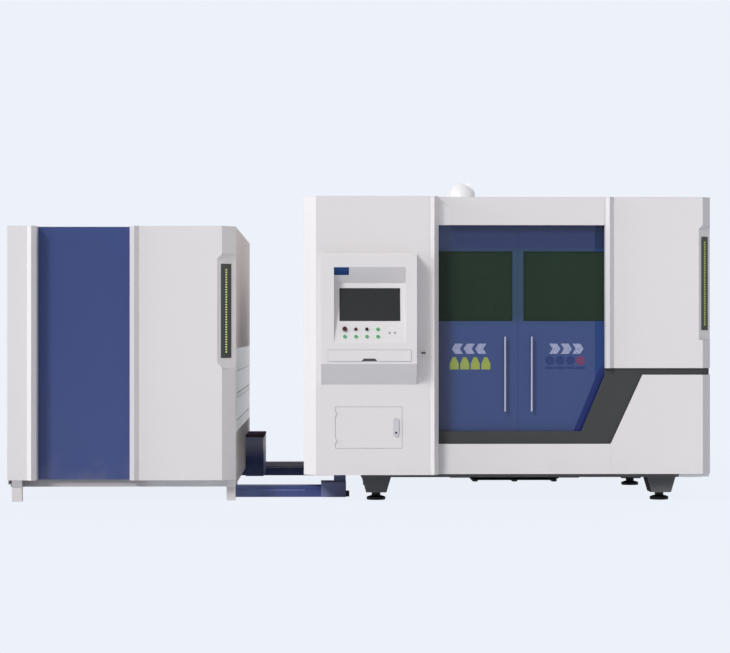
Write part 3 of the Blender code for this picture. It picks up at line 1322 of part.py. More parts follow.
def make_cabinet_frame():
    """Posts, legs, base and top rings, and the ledges that the pallets run on."""
    post = CABINET_POST
    left = CABINET_LEFT + SHEET + CLEAR
    right = CABINET_RIGHT - SHEET - CLEAR
    near = at_depth(CABINET_FRONT + SHEET + CLEAR)
    far = at_depth(CABINET_FRONT + CABINET_DEPTH - SHEET - CLEAR)
    corner = at_depth(CABINET_FRONT + CABINET_CHAMFER + LIGHT_BAR_THICK + 3 * SHEET)
    panel = at_depth(CABINET_FRONT + BLUE_PANEL_SETBACK + BLUE_PANEL_RETURN + CLEAR)
    top = CABINET_TOP - SHEET - CLEAR
    tall = (0.0, top)
    ring = (CABINET_RING_LOW, CABINET_RING_LOW + CABINET_RING_HEIGHT)
    head = (top - post, top - NEST)
    leg = CABINET_LEFT + CABINET_LEG_INSET
    ends = ((leg, leg + CABINET_LEG_WIDTH), (right - post, right))
    across = (left + NEST, right - NEST)
    frame = finish("cabinet_frame", block(ends[0], (near, near + post), tall), GREY)
    spans = [
        (ends[1], (corner, corner + post), tall),
        (ends[0], (far - post, far), tall),
        (ends[1], (far - post, far), tall),
        (across, (far - post + NEST, far - NEST), ring),
        (across, (far - post + NEST, far - NEST), head),
        (across, (panel, panel + post - NEST), ring),
        (across, (panel, panel + post - NEST), head),
    ]
    for (low, high), first in zip(ends, (near, corner)):
        place = (low + 2 * NEST, high - 2 * NEST)
        long = (first + NEST, far - 2 * NEST)
        spans += [(place, long, (ring[0] + NEST, ring[1] - NEST)),
                  (place, long, (head[0] + NEST, head[1] - NEST))]
    inner_near = at_depth(PALLET_FRONT) - LEDGE_GAP
    inner_far = at_depth(PALLET_FRONT) + PALLET_LENGTH + LEDGE_GAP
    for low, high, edge, toward in (
        (inner_near - post, inner_near, inner_near, 1),
        (inner_far, inner_far + post, inner_far, -1),
    ):
        for x in ends:
            spans.append((x, (low, high), (ring[0] + 2 * NEST, UPPER_LEVEL - NEST)))
        for level in (LOWER_LEVEL, UPPER_LEVEL):
            beam = (level - post, level - 2 * NEST)
            reach = sorted((edge - toward * RUN, edge + toward * LEDGE_OUT))
            spans += [(across, (low + NEST, high - NEST), beam),
                      ((left + 2 * NEST, right - 2 * NEST), reach, (level - LEDGE_THICK, level))]
    weld(frame, blocks(spans))


def cabinet_ridge(left):
    """A rib's three plan points, from its left edge."""
    return [(left, CABINET_FRONT), (left + CABINET_RIB_WIDTH / 2, CABINET_FRONT - CABINET_RIB_RISE),
            (left + CABINET_RIB_WIDTH, CABINET_FRONT)]


def make_cabinet_front():
    left_rib = CABINET_LEFT + CABINET_END_FLAT
    blue_left = left_rib + CABINET_RIB_WIDTH
    right_rib = blue_left + BLUE_PANEL_WIDTH
    back = CABINET_FRONT + BLUE_PANEL_SETBACK + BLUE_PANEL_RETURN
    top = CABINET_TOP - SHEET - CLEAR
    path = plan([(CABINET_LEFT, CABINET_FRONT + SIDE_RETURN), (CABINET_LEFT, CABINET_FRONT)]
                + cabinet_ridge(left_rib) + [(blue_left, back)])
    shape = prism("Z", folded(path, SHEET), CABINET_BOTTOM, top)
    finish("cabinet_front_left_cover", shape, WHITE)
    face = CABINET_FRONT + BLUE_PANEL_SETBACK
    spans = ((blue_left + CLEAR, right_rib - CLEAR), (at_depth(face), at_depth(face + SHEET)),
             (CABINET_BOTTOM, top))
    finish("cabinet_blue_panel", block(*spans), BLUE)
    path = plan([(right_rib, back)] + cabinet_ridge(right_rib) + [
        (CABINET_RIGHT - CABINET_CHAMFER, CABINET_FRONT),
        (CABINET_RIGHT, CABINET_FRONT + CABINET_CHAMFER),
        (CABINET_RIGHT, CABINET_FRONT + CABINET_CHAMFER + SIDE_RETURN),
    ])
    shape = prism("Z", folded(path, SHEET), CABINET_BOTTOM, top)
    cover = finish("cabinet_front_right_cover", shape, WHITE)
    left = CABINET_RIGHT - CABINET_CHAMFER - CABINET_LIGHT_INSET
    depths = (at_depth(CABINET_FRONT - RUN),
              at_depth(CABINET_FRONT + CABINET_CHAMFER + LIGHT_BAR_SINK))
    outline = light_recess(left, CABINET_RIGHT + RUN, CABINET_LIGHT_LOW, CABINET_LIGHT_HIGH,
                           CABINET_LIGHT_CUT, CABINET_LIGHT_CUT)
    cut(cover, prism("Y", outline, *depths), "light")


def make_cabinet_walls():
    front = CABINET_FRONT + SIDE_RETURN + CLEAR
    rear = CABINET_FRONT + CABINET_DEPTH
    top = CABINET_TOP - SHEET - CLEAR
    spans = ((CABINET_LEFT, CABINET_LEFT + SHEET), (at_depth(front), at_depth(rear)),
             (CABINET_SIDE_BOTTOM, top))
    wall = finish("cabinet_left_wall", block(*spans), WHITE)
    spans = ((CABINET_LEFT - RUN, CABINET_LEFT + SHEET + RUN),
             (at_depth(front + LOADING_MARGIN), at_depth(rear - LOADING_MARGIN)),
             (LOADING_LOW, LOADING_HIGH))
    cut(wall, block(*spans), "loading")
    front = CABINET_FRONT + CABINET_CHAMFER + SIDE_RETURN + CLEAR
    spans = ((CABINET_RIGHT - SHEET, CABINET_RIGHT), (at_depth(front), at_depth(rear)),
             (CABINET_SIDE_BOTTOM, top))
    wall = finish("cabinet_right_wall", block(*spans), WHITE)
    slots = bmesh.new()
    depths = (at_depth(PALLET_FRONT) - SHIELD_GAP - RUN,
              at_depth(PALLET_FRONT) + PALLET_LENGTH + SHIELD_GAP + RUN)
    for level in (LOWER_LEVEL, UPPER_LEVEL):
        add_block(slots, (CABINET_RIGHT - SHEET - RUN, CABINET_RIGHT + RUN), depths,
                  (level - RUN, level + SHIELD_HEIGHT + RUN))
    cut(wall, slots, "slots")
    spans = ((CABINET_LEFT + SHEET + CLEAR, CABINET_RIGHT - SHEET - CLEAR),
             (at_depth(rear - SHEET), at_depth(rear)), (CABINET_SIDE_BOTTOM, top))
    finish("cabinet_rear_wall", block(*spans), WHITE)
    left_rib = CABINET_LEFT + CABINET_END_FLAT
    blue_left = left_rib + CABINET_RIB_WIDTH
    right_rib = blue_left + BLUE_PANEL_WIDTH
    outline = plan(
        [(CABINET_LEFT, rear), (CABINET_LEFT, CABINET_FRONT)]
        + cabinet_ridge(left_rib)
        + [(blue_left, CABINET_FRONT + BLUE_PANEL_SETBACK),
           (right_rib, CABINET_FRONT + BLUE_PANEL_SETBACK)]
        + cabinet_ridge(right_rib)
        + [(CABINET_RIGHT - CABINET_CHAMFER, CABINET_FRONT),
           (CABINET_RIGHT, CABINET_FRONT + CABINET_CHAMFER), (CABINET_RIGHT, rear)]
    )
    finish("cabinet_roof", prism("Z", outline, CABINET_TOP - SHEET, CABINET_TOP), WHITE)


# Floor beams and drive unit

def make_tie_beam(name, depth, width, under, shoe_top, rail_top):
    """A stepped beam on the floor, with the post that meets the machine's base ring."""
    near = at_depth(depth)
    far = near + width
    left = CABINET_RIGHT - under
    post_left = MAIN_LEFT + TIE_POST_FROM_MAIN
    right = post_left + TIE_POST_WIDTH
    outline = [
        (near, 0.0), (far, 0.0), (far, TIE_BASE), (far - TIE_STEP, TIE_BASE),
        (far - TIE_STEP, TIE_HEIGHT), (near + TIE_STEP, TIE_HEIGHT), (near + TIE_STEP, TIE_BASE),
        (near, TIE_BASE),
    ]
    beam = finish(name, prism("X", outline, left, right - NEST), BLUE)
    inner = (near + TIE_STEP + RUN, far - TIE_STEP - RUN)
    spans = [
        ((post_left, right), inner, (TIE_BASE, RING_BOTTOM + RING_RAISE - CLEAR)),
        ((right - RUN, right + TIE_FOOT_OUT), (near + RUN, far - RUN), (NEST, TIE_FOOT_THICK)),
        ((CABINET_RIGHT - min(CABINET_POST, under - RUN), CABINET_RIGHT - 2 * RUN), inner,
         (TIE_BASE, CABINET_RING_LOW + NEST - CLEAR)),
    ]
    if shoe_top > 0:
        spans.append(((right - TIE_SHOE_LENGTH, right + NEST),
                      (near - TIE_SHOE_PROUD, far + TIE_SHOE_PROUD), (0.0, shoe_top)))
    if rail_top > 0:
        spans.append(((CABINET_RIGHT + RUN, post_left + RUN),
                      (inner[0] + NEST, inner[1] - NEST), (TIE_BASE + NEST, rail_top)))
    weld(beam, blocks(spans), "post")


def make_drive_unit():
    left = CABINET_RIGHT + CLEAR
    right = CABINET_RIGHT + DRIVE_OUT
    outline = [
        (left, DRIVE_LOW), (right, DRIVE_LOW), (right, DRIVE_HIGH - DRIVE_CHAMFER),
        (right - DRIVE_CHAMFER, DRIVE_HIGH), (left, DRIVE_HIGH),
    ]
    start = at_depth(DRIVE_DEPTH)
    finish("drive_unit_housing", prism("Y", outline, start, start + DRIVE_LENGTH), BLUE)


make_control_column_cover()
make_rib("left_pilaster", LEFT_RIB, 0.0, PANEL_BOTTOM, SETBACK + REVEAL_DEPTH)
make_rib("right_pilaster", OPENING_RIGHT, SETBACK - RIB_RISE, BAND_TOP, SETBACK + REVEAL_DEPTH)
make_header_panel()
make_right_column_cover()
make_light_bar("main_light_bar", MAIN_RIGHT, SETBACK, LIGHT_RECESS_INSET, RIGHT_CHAMFER,
               (LIGHT_RECESS_LOW, LIGHT_RECESS_HIGH), (0.0, LIGHT_RECESS_CUT),
               (LIGHT_STRIP_FAR, LIGHT_STRIP_NEAR), (LIGHT_STRIP_LOW, LIGHT_STRIP_HIGH))
make_light_bar("cabinet_light_bar", CABINET_RIGHT, CABINET_FRONT, CABINET_LIGHT_INSET,
               CABINET_CHAMFER, (CABINET_LIGHT_LOW, CABINET_LIGHT_HIGH),
               (CABINET_LIGHT_CUT, CABINET_LIGHT_CUT),
               (CABINET_STRIP_FAR, CABINET_STRIP_NEAR), (CABINET_STRIP_LOW, CABINET_STRIP_HIGH))
make_lower_right_cover()
make_lower_front_cover()
make_sill_band()
make_main_side_covers()
make_main_rear_cover()
make_main_roof()
make_roof_hood()
make_enclosure_frame()
make_bed_frame()
make_feet()
make_scrap_trough()
make_console_housing()
make_console_screen()
make_buttons()
make_keyboard_drawer()
make_maintenance_door()
make_maintenance_latch()
make_door("left", -1)
make_door("right", 1)
make_gantry_beam()
make_x_carriage()
make_cutting_head()
make_pallet("lower_pallet", LOWER_LEVEL)
make_pallet("upper_pallet", UPPER_LEVEL)
make_cabinet_frame()
make_cabinet_front()
make_cabinet_walls()
make_tie_beam("front_tie_beam", TIE_FRONT_DEPTH, TIE_WIDTH, TIE_UNDER_CABINET,
              TIE_SHOE_TOP, 0.0)
make_tie_beam("rear_tie_beam", TIE_REAR_DEPTH, TIE_REAR_WIDTH, TIE_REAR_UNDER_CABINET,
              0.0, TIE_REAR_RAIL)
make_drive_unit()
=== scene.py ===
# %% [markdown]
# # A fibre laser cutting machine, dressed for its picture
#
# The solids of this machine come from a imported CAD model: sheet steel covers, doors, a
# console, a bed with its gantry and an exchange cabinet. This lesson keeps every solid
# where it is and gives it the surface of the real thing. Small parts that a camera sees,
# such as lamps, plates and keys, are added as pieces of their own, and each of them rides
# on the part that carries it.

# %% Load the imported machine
import math

import bmesh
import bpy
from mathutils import Matrix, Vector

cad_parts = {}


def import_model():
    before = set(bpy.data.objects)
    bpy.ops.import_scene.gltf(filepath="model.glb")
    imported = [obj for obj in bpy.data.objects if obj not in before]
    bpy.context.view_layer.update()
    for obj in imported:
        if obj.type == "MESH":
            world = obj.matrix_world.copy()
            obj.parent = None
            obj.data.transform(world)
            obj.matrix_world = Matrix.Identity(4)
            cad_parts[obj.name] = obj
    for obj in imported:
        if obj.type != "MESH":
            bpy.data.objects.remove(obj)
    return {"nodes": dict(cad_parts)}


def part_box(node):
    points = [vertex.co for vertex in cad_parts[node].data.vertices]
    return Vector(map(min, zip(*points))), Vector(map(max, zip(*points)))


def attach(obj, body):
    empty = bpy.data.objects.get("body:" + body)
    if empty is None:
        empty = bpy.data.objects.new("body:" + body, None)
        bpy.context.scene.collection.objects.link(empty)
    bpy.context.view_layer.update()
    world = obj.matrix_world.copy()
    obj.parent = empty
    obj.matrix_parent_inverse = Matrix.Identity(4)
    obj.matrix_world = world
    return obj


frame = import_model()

X, Y, Z = 0, 1, 2
LOW, HIGH = 0, 1
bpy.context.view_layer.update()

# %% [markdown]
# ## Where the photographer stood
#
# The depth lines of the machine meet just left of the picture's middle, at the height of
# the console. So the camera stands far back, almost square to the front, with a long
# lens. A long lens keeps the sides of the housings narrow, as in the photograph.

# %% Camera
camera_data = bpy.data.cameras.new("front_camera")
camera_data.lens = 127.4
camera_data.sensor_width = 36.0
camera = bpy.data.objects.new("front_camera", camera_data)
camera.location = (-0.259, -20.717, 1.223)
camera.rotation_euler = (math.radians(90.144), 0.0, math.radians(-0.91))
bpy.context.scene.collection.objects.link(camera)
bpy.context.scene.camera = camera
print("camera", [round(value, 3) for value in camera.location])

# %% [markdown]
# ## A small language for surfaces
#
# A finish in Blender is a graph of nodes. Written out node by node it is long, so one
# class wraps a socket and lets Python's own signs add the Math nodes. Another class holds
# the material and has one method for every other kind of node.

# %% Sockets that can be added and multiplied
class Value:
    """One output in a finish. Python's signs on it add Math nodes."""

    def __init__(self, finish, output):
        self.finish = finish
        self.output = output

    def math(self, operation, *inputs):
        """A Math node on the given inputs, or on this output when none are given."""
        settings = {"operation": operation}
        return self.finish.node("ShaderNodeMath", settings, dict(enumerate(inputs or (self,))))

    def __add__(self, other):
        return self.math("ADD", self, other)

    def __sub__(self, other):
        return self.math("SUBTRACT", self, other)

    def __rsub__(self, other):
        return self.math("SUBTRACT", other, self)

    def __mul__(self, other):
        return self.math("MULTIPLY", self, other)

    def __gt__(self, other):
        return self.math("GREATER_THAN", self, other)

    def __lt__(self, other):
        return self.math("LESS_THAN", self, other)

    __radd__ = __add__
    __rmul__ = __mul__


def linear(part):
    """One part of a web colour, from 0 to 1, without the curve that a screen expects."""
    return part / 12.92 if part <= 0.04045 else ((part + 0.055) / 1.055) ** 2.4


def colour(code):
    """A web colour such as #d9d6d9 as the linear colour that a shader takes."""
    parts = [int(code[place:place + 2], 16) / 255 for place in (1, 3, 5)]
    return (*map(linear, parts), 1.0)


print("mid grey on a screen is", round(linear(0.5), 3), "to a shader")


# %% Finishes
class Finish:
    """A material with one Principled surface, built from nodes on Object coordinates."""

    def __init__(self, name, base, roughness, metallic=0.0):
        self.material = bpy.data.materials.new(name)
        self.material.use_nodes = True
        self.tree = self.material.node_tree
        self.surface = self.tree.nodes["Principled BSDF"]
        self.set("Base Color", colour(base))
        self.set("Roughness", roughness)
        self.set("Metallic", metallic)
        self.place = self.node("ShaderNodeTexCoord", output="Object")

    def node(self, kind, settings=None, values=None, output=0):
        """Adds a node: its settings first, then the values or links of its sockets."""
        made = self.tree.nodes.new(kind)
        for key, value in (settings or {}).items():
            setattr(made, key, value)
        for key, value in (values or {}).items():
            self.join(made.inputs[key], value)
        return Value(self, made.outputs[output])

    def join(self, socket, value):
        """Links a value to a socket, or sets the socket to a constant."""
        if isinstance(value, Value):
            self.tree.links.new(value.output, socket)
        else:
            socket.default_value = value

    def set(self, socket, value):
        """Sets one input of the surface by its name."""
        self.join(self.surface.inputs[socket], value)

    def noise(self, scale, detail, stretch=(1.0, 1.0, 1.0)):
        """Soft noise from 0 to 1. The scale counts waves per metre."""
        place = self.node("ShaderNodeMapping", None, {"Vector": self.place, "Scale": stretch})
        return self.node("ShaderNodeTexNoise", None,
                         {"Vector": place, "Scale": scale, "Detail": detail})

    def part(self, axis):
        """One coordinate of the point, in metres."""
        return self.node("ShaderNodeSeparateXYZ", None, {"Vector": self.place}, output=axis)

    def ramp(self, value, low, high):
        """Turns a value between two limits into 0 to 1, with soft ends."""
        return self.node("ShaderNodeMapRange", {"interpolation_type": "SMOOTHSTEP"},
                         {"Value": value, "From Min": low, "From Max": high})

    def blend(self, mask, first, second):
        """Mixes two colours by a mask."""
        return self.node("ShaderNodeMix", {"data_type": "RGBA"},
                         {"Factor": mask, "A": first, "B": second}, output="Result")

    def bump(self, height, distance, strength):
        """Lets a height, in units of the distance, bend the surface's normal."""
        self.set("Normal", self.node("ShaderNodeBump", None, {
            "Height": height, "Distance": distance, "Strength": strength}))


print("finish tools ready")

# %% [markdown]
# ## Studio light
#
# The left facets of the ribs are bright, the right ones are grey, and the console throws
# its shadow to the right and down. So the main lamp stands high on the left in front. A
# weaker one grazes from the far left, and the pale room fills what is left. The camera
# and mirrors see the room in its own pale blue, so the light on the machine stays plain.

# %% Lamps
room_colour = colour("#edf2fa")


def sun(name, strength, aside, up, softness):
    """A distant lamp, so many degrees left of the front and so many above the floor."""
    lamp = bpy.data.lights.new(name, "SUN")
    lamp.energy = strength
    lamp.angle = math.radians(softness)
    made = bpy.data.objects.new(name, lamp)
    made.rotation_euler = (math.radians(90 - up), 0.0, math.radians(-aside))
    bpy.context.scene.collection.objects.link(made)


sun("key_lamp", strength=1.62, aside=34, up=32, softness=16)
sun("left_fill", strength=0.85, aside=80, up=12, softness=20)
sun("rear_fill", strength=0.8, aside=205, up=35, softness=20)
bpy.context.scene.view_settings.view_transform = "Standard"


# %% The room
def is_seen(node):
    """1 where the camera, a mirror or a glass looks, 0 where light is gathered."""
    path = "ShaderNodeLightPath"
    seen = node(path, output="Is Camera Ray")
    seen = seen.math("MAXIMUM", seen, node(path, output="Is Glossy Ray"))
    return seen.math("MAXIMUM", seen, node(path, output="Is Transmission Ray"))


class Room(Finish):
    """The world's nodes, which have no Principled surface."""

    def __init__(self, world):
        world.use_nodes = True
        self.tree = world.node_tree
        self.surface = self.tree.nodes["Background"]


ROOM_LIGHT = 0.435
WHITE = (1.0, 1.0, 1.0, 1.0)
world = bpy.data.worlds.new("studio")
bpy.context.scene.world = world
room = Room(world)
seen = is_seen(room.node)
room.set("Color", room.blend(seen, WHITE, room_colour))
room.set("Strength", ROOM_LIGHT + (1.0 - ROOM_LIGHT) * seen)
print("room", [round(value, 2) for value in room_colour[:3]])

# %% [markdown]
# ## The floor
#
# The studio floor has the room's colour and only a breath of shadow. A plain emitting
# surface would lose the shadow, so the floor mixes the two, and far away the room's
# colour takes over, so no horizon shows.

# %% Floor
FLOOR_REACH = 60
SHADOW_SHARE = 0.03
floor_mesh = bmesh.new()
bmesh.ops.create_grid(floor_mesh, x_segments=1, y_segments=1, size=FLOOR_REACH)
floor_data = bpy.data.meshes.new("floor")
floor_mesh.to_mesh(floor_data)
floor_mesh.free()
floor = bpy.data.objects.new("floor", floor_data)
floor.location.z = -0.0005
bpy.context.scene.collection.objects.link(floor)
matt = Finish("studio_floor", "#eef2f8", 0.9)
matt.set("Specular IOR Level", 0.0)
away = matt.node("ShaderNodeVectorMath", {"operation": "LENGTH"}, {0: matt.place},
                 output="Value")
glow = matt.node("ShaderNodeEmission", None, {"Color": room_colour})
far_off = matt.ramp(away, 3.0, 8.0)
keep = is_seen(matt.node) * ((1.0 - SHADOW_SHARE) + SHADOW_SHARE * far_off)
mixed = matt.node("ShaderNodeMixShader", None,
                  {0: keep, 1: Value(matt, matt.surface.outputs["BSDF"]), 2: glow})
matt.join(matt.tree.nodes["Material Output"].inputs["Surface"], mixed)
floor.data.materials.append(matt.material)
print("floor", floor.name)

# %% [markdown]
# ## Powder coat
#
# The covers are sheet steel with a baked powder coat. Close up it has the fine skin of
# an orange, and its gloss drifts a little from place to place. Big panels are never
# quite flat, so their reflections bend slowly. All three come from noise of three sizes:
# the largest one drifts the gloss, the middle one bends the normal, the smallest is the
# skin. Near its lower edge a cover picks up a trace of dust. Noise on the object's own
# coordinates needs no unwrapping and never repeats, so it suits panels of every size.

# %% Powder coat
DUST = colour("#b9b2a6")
CLOUD_WAVES = 1.3
GRAIN_WAVES = 420.0
BEND_WAVES = 2.2
BUMP_DEPTH = 0.001


def lighter(code, factor):
    """A web colour, made brighter by a factor and held within 1."""
    return tuple(min(1.0, part * factor) for part in colour(code)[:3]) + (1.0,)


def rubbed_band(coat, height, start, end):
    """1 between two heights and 0 elsewhere, with edges of 10 mm."""
    edge = 0.01
    return coat.ramp(height, start - edge, start) * (1.0 - coat.ramp(height, end, end + edge))


def powder_coat(name, code, roughness, skin=0.00012, dust=0.10, gloss=0.5, lower=None,
                tints=(), polished=None):
    """Baked paint on sheet steel.

    lower is a second colour for the foot of tall panels. tints holds functions that give a
    mask and a colour, which is laid over the paint there. polished holds the two heights
    between which pallets have rubbed the paint smooth, and its roughness there.
    """
    coat = Finish(name, code, roughness)
    clouds = coat.noise(CLOUD_WAVES, 3.0)
    grains = coat.noise(GRAIN_WAVES, 1.0)
    height = coat.part(Z)
    shade = colour(code)
    if lower:
        shade = coat.blend(coat.ramp(height, 0.3, 1.9), colour(lower), shade)
    shade = coat.blend(clouds * 0.5, shade, lighter(code, 1.05))
    for tint in tints:
        mask, tone = tint(coat)
        shade = coat.blend(mask, shade, colour(tone))
    settled = coat.ramp(coat.noise(5.0, 4.0) - height * 1.6, 0.0, 0.5) * dust
    coat.set("Base Color", coat.blend(settled, shade, DUST))
    rough = clouds * 0.10 + grains * 0.04 + settled * 0.5 + (roughness - 0.07)
    if polished:
        start, end, smooth = polished
        rough = rough - rubbed_band(coat, height, start, end) * (roughness - smooth)
    coat.set("Roughness", rough)
    coat.set("Specular IOR Level", gloss)
    waves = coat.noise(BEND_WAVES, 1.0)
    coat.bump(waves * 4.0 + grains * (skin / BUMP_DEPTH), BUMP_DEPTH, 0.35)
    return coat.material


white = powder_coat("white_powder_coat", "#dbd7d8", 0.36)
print("powder coat", white.name)

# %% [markdown]
# ## Tints
#
# One solid can carry more than one paint: a black sole, a rail that is worn. Painted light
# and shade are laid on the same way, such as the painted shadow in deeper blue along a
# door's right edge. A picture on the surface could show that, but it would have to be
# painted and unwrapped. A tint is simpler: a mask on the point's place and a colour. Most
# masks grow along one axis, so two short makers cover them, and a third one makes a hard
# edge.

# %% Tints along one axis
def past(axis, low, high, tone, amount=1.0):
    """A tint that grows between two places on an axis and covers what lies beyond."""
    return lambda coat: (coat.ramp(coat.part(axis), low, high) * amount, tone)


def before(axis, low, high, tone, amount=1.0):
    """A tint that covers what lies before two places on an axis and fades between them."""
    return lambda coat: ((1.0 - coat.ramp(coat.part(axis), low, high)) * amount, tone)


def beyond(axis, place, tone):
    """A tint with a hard edge at one place on an axis."""
    return lambda coat: (coat.part(axis) > place, tone)


print("tint makers", past.__name__, before.__name__, beyond.__name__)

# %% [markdown]
# ## Door enamel
#
# The doors have a smoother enamel than the covers. Their blue is greener at the height of
# the windows. Painted shade darkens it above the windows, where the header shades the
# doors, and greys it at the left edge beside the pilaster, where painted light lifts the
# corner above the window again. A painted shadow in deeper blue runs along the right edge
# and along the slanted band. That band leans, so its mask adds up X and Z.

# %% Blue paints of doors and panel
DOOR_EDGE_SHADOW = (1.7120, 1.7150)
ABOVE_WINDOWS = (1.80, 1.86)
SLANT_X, SLANT_Z = 0.9223, -0.3866
SLANT_EDGE = (1.2370, 1.2400)
SLANT_TOP = (0.95, 1.0)


def corner_light(coat):
    """Above the window, beside the left pilaster, whose side sends some light back."""
    beside = 1.0 - coat.ramp(coat.part(X), 0.60, 0.72)
    return coat.ramp(coat.part(Z), *ABOVE_WINDOWS) * beside * 0.9, "#404b74"


def edge_shadow_top(coat):
    """Painted shadow along the right edge, in a darker blue above the window."""
    above = coat.ramp(coat.part(Z), *ABOVE_WINDOWS)
    return above * coat.ramp(coat.part(X), *DOOR_EDGE_SHADOW) * 0.95, "#0c1c46"


def slanted_band_shadow(coat):
    """Painted shadow along the slanted band, in a still deeper blue."""
    along = coat.ramp(coat.part(X) * SLANT_X + coat.part(Z) * SLANT_Z, *SLANT_EDGE)
    return along * (1.0 - coat.ramp(coat.part(Z), *SLANT_TOP)), "#061f66"


door_blue = powder_coat("blue_door_enamel", "#374878", 0.22, gloss=0.35, tints=(
    # painted shade at the left edge, beside the left pilaster
    before(X, 0.56, 0.74, "#3a3d52", 0.65),
    past(Z, 1.26, 1.36, "#22404a", 0.70),
    # painted shade of the header over the doors above the windows
    past(Z, *ABOVE_WINDOWS, "#29345e", 0.95),
    corner_light,
    # painted shadow along the right edge of the doors
    past(X, *DOOR_EDGE_SHADOW, "#003374", 0.8),
    edge_shadow_top,
    slanted_band_shadow,
))
panel_blue = powder_coat("blue_powder_coat", "#36467a", 0.36, gloss=0.30, lower="#3f4c7e")
print("blue paints", door_blue.name, panel_blue.name)

# %% [markdown]
# ## Paint of the floor beams
#
# The front beam carries painted light at its left end, in the cabinet's shade, and on its
# posts and shoe, in the shade under the machine, which makes their blue paler and greyer.
# The shoe has a black sole. The rail of the rear beam is worn to grey. The drive box has
# painted light too: it turns lighter and greyer towards its lid, most of all on its right
# side.

# %% Beams and drive
DRIVE_SIDE = -0.7620


def drive_side_highlight(coat):
    """Painted light on the drive's right side, pale above, with the box's blue at its foot."""
    return (coat.part(X) > DRIVE_SIDE) * coat.ramp(coat.part(Z), 0.215, 0.320), "#fdfdff"


beam_blue = powder_coat("blue_floor_steel", "#3d4c88", 0.50, dust=0.06, gloss=0.2, tints=(
    # painted light at the left end, in the cabinet's shade
    before(X, -0.92, -0.50, "#8390c6", 0.75),
    # painted light on the posts and shoe, which stand in shade under the machine
    past(X, -0.282, -0.279, "#8a92c0", 0.9),
    beyond(X, -0.0963, "#08080b"),
))
rear_blue = powder_coat("blue_rear_steel", "#38497c", 0.50, dust=0.06, gloss=0.2,
                        tints=(past(Z, 0.072, 0.078, "#c8c4cc", 0.95),))
# painted light: lighter and greyer towards the lid, most of all on the right side
drive_blue = powder_coat("blue_drive_paint", "#364678", 0.45, dust=0.06, gloss=0.2,
                         tints=(past(Z, 0.17, 0.34, "#a7abc8", 0.95), drive_side_highlight))
print("floor paints", beam_blue.name, rear_blue.name, drive_blue.name)

# %% [markdown]
# ## Dark paints
#
# The slanted band is charcoal, and so are the frame inside and the bed. The bed's base ring
# shows under the covers: its right end carries painted light in the covers' white, and the
# left flanks of its right foot brackets carry painted shade in black. Both masks follow the
# slope of those brackets.

# %% Charcoal, chassis and feet
BRACKET_SLOPE = 0.2958
BRACKET_LEFT = (2.02, 2.154)
BRACKET_RIGHT = 2.268
BRACKET_TOP = 0.174
PAD_TOP = 0.0455


def ring_end(coat):
    """Painted light on the right end of the bed's base ring, in the covers' white over its
    shade.
    """
    return coat.part(X) - coat.part(Z) * BRACKET_SLOPE > BRACKET_RIGHT, "#f2f4f8"


def bracket_flank(coat):
    """The left flank of the right foot brackets, which no lamp reaches."""
    start, end = BRACKET_LEFT
    flank = coat.part(X) + coat.part(Z) * BRACKET_SLOPE < end
    return flank * (coat.part(X) > start) * (coat.part(Z) < BRACKET_TOP), "#050507"


charcoal = powder_coat("charcoal_powder_coat", "#3d3d3e", 0.55, skin=0.0003, gloss=0.25)
inner_grey = powder_coat("charcoal_chassis_paint", "#4a4a4d", 0.6, skin=0.0003, dust=0.03,
                         gloss=0.3)
ring_grey = powder_coat("charcoal_ring_paint", "#646467", 0.7, skin=0.0003, dust=0.03,
                        gloss=0.02, tints=(ring_end, bracket_flank))
foot_black = powder_coat("black_foot_coat", "#0b0b0f", 0.5, skin=0.0002, dust=0.0, gloss=0.15,
                         tints=(beyond(Z, PAD_TOP, "#4a4a4d"),))
casting = powder_coat("silver_grey_machine_paint", "#9fa3a8", 0.45, skin=0.0004)
print("dark paints", charcoal.name, inner_grey.name, ring_grey.name, foot_black.name)

# %% [markdown]
# ## White paints
#
# Every cover is white, but no two stand alike in the light. The facets of ribs, pilasters
# and chamfers carry painted shade: a darker white on the right chamfer, on the right facet
# of the left rib and on a facet of the cabinet cover, and a thin dark line along the right
# pilaster's left edge. The header carries painted light in the pilaster's shadow, and the
# cabinet's base ring has painted shade on the left and painted light on the right. The
# lamp recess on the right chamfer has a greyer white, which is painted shade as well.

# %% Whites and pale greys
SHADOW_SLOPE = 1.166
CABINET_RING = (0.100, 0.156)


def shadow_light(coat):
    """The header where the left pilaster's shadow falls, which light from the side fills."""
    edge = coat.part(Z) + coat.part(X) * SHADOW_SLOPE
    lower = 1.0 - coat.ramp(edge, 2.8585, 2.8785)
    return lower * (1.0 - coat.ramp(coat.part(X), 0.600, 0.665)), "#fffdfe"


def in_ring(coat):
    """1 at the heights of the cabinet's base ring."""
    low, high = CABINET_RING
    return (coat.part(Z) > low) * (coat.part(Z) < high)


def ring_left(coat):
    """The base ring on the left, which stands in the shade of the covers."""
    return in_ring(coat) * (1.0 - coat.ramp(coat.part(X), -1.70, -1.50)), "#b2afb4"


def ring_right(coat):
    """The base ring on the right, which the lamps reach."""
    return in_ring(coat) * coat.ramp(coat.part(X), -1.60, -1.45), "#f0edf2"


# painted shade on the right chamfer, which turns away from the lamps
corner_white = powder_coat("shaded_chamfer_white_coat", "#dbd7d8", 0.36,
                           tints=(past(X, 2.4925, 2.4945, "#c8c5c9"),))
header_white = powder_coat("header_white_coat", "#d9d5d6", 0.36, tints=(shadow_light,))
# painted shade: a thin dark line along the right pilaster's left edge
pilaster_white = powder_coat("right_pilaster_coat", "#d8d5d8", 0.36,
                             tints=(before(X, 1.7825, 1.7845, "#b0adb4"),))
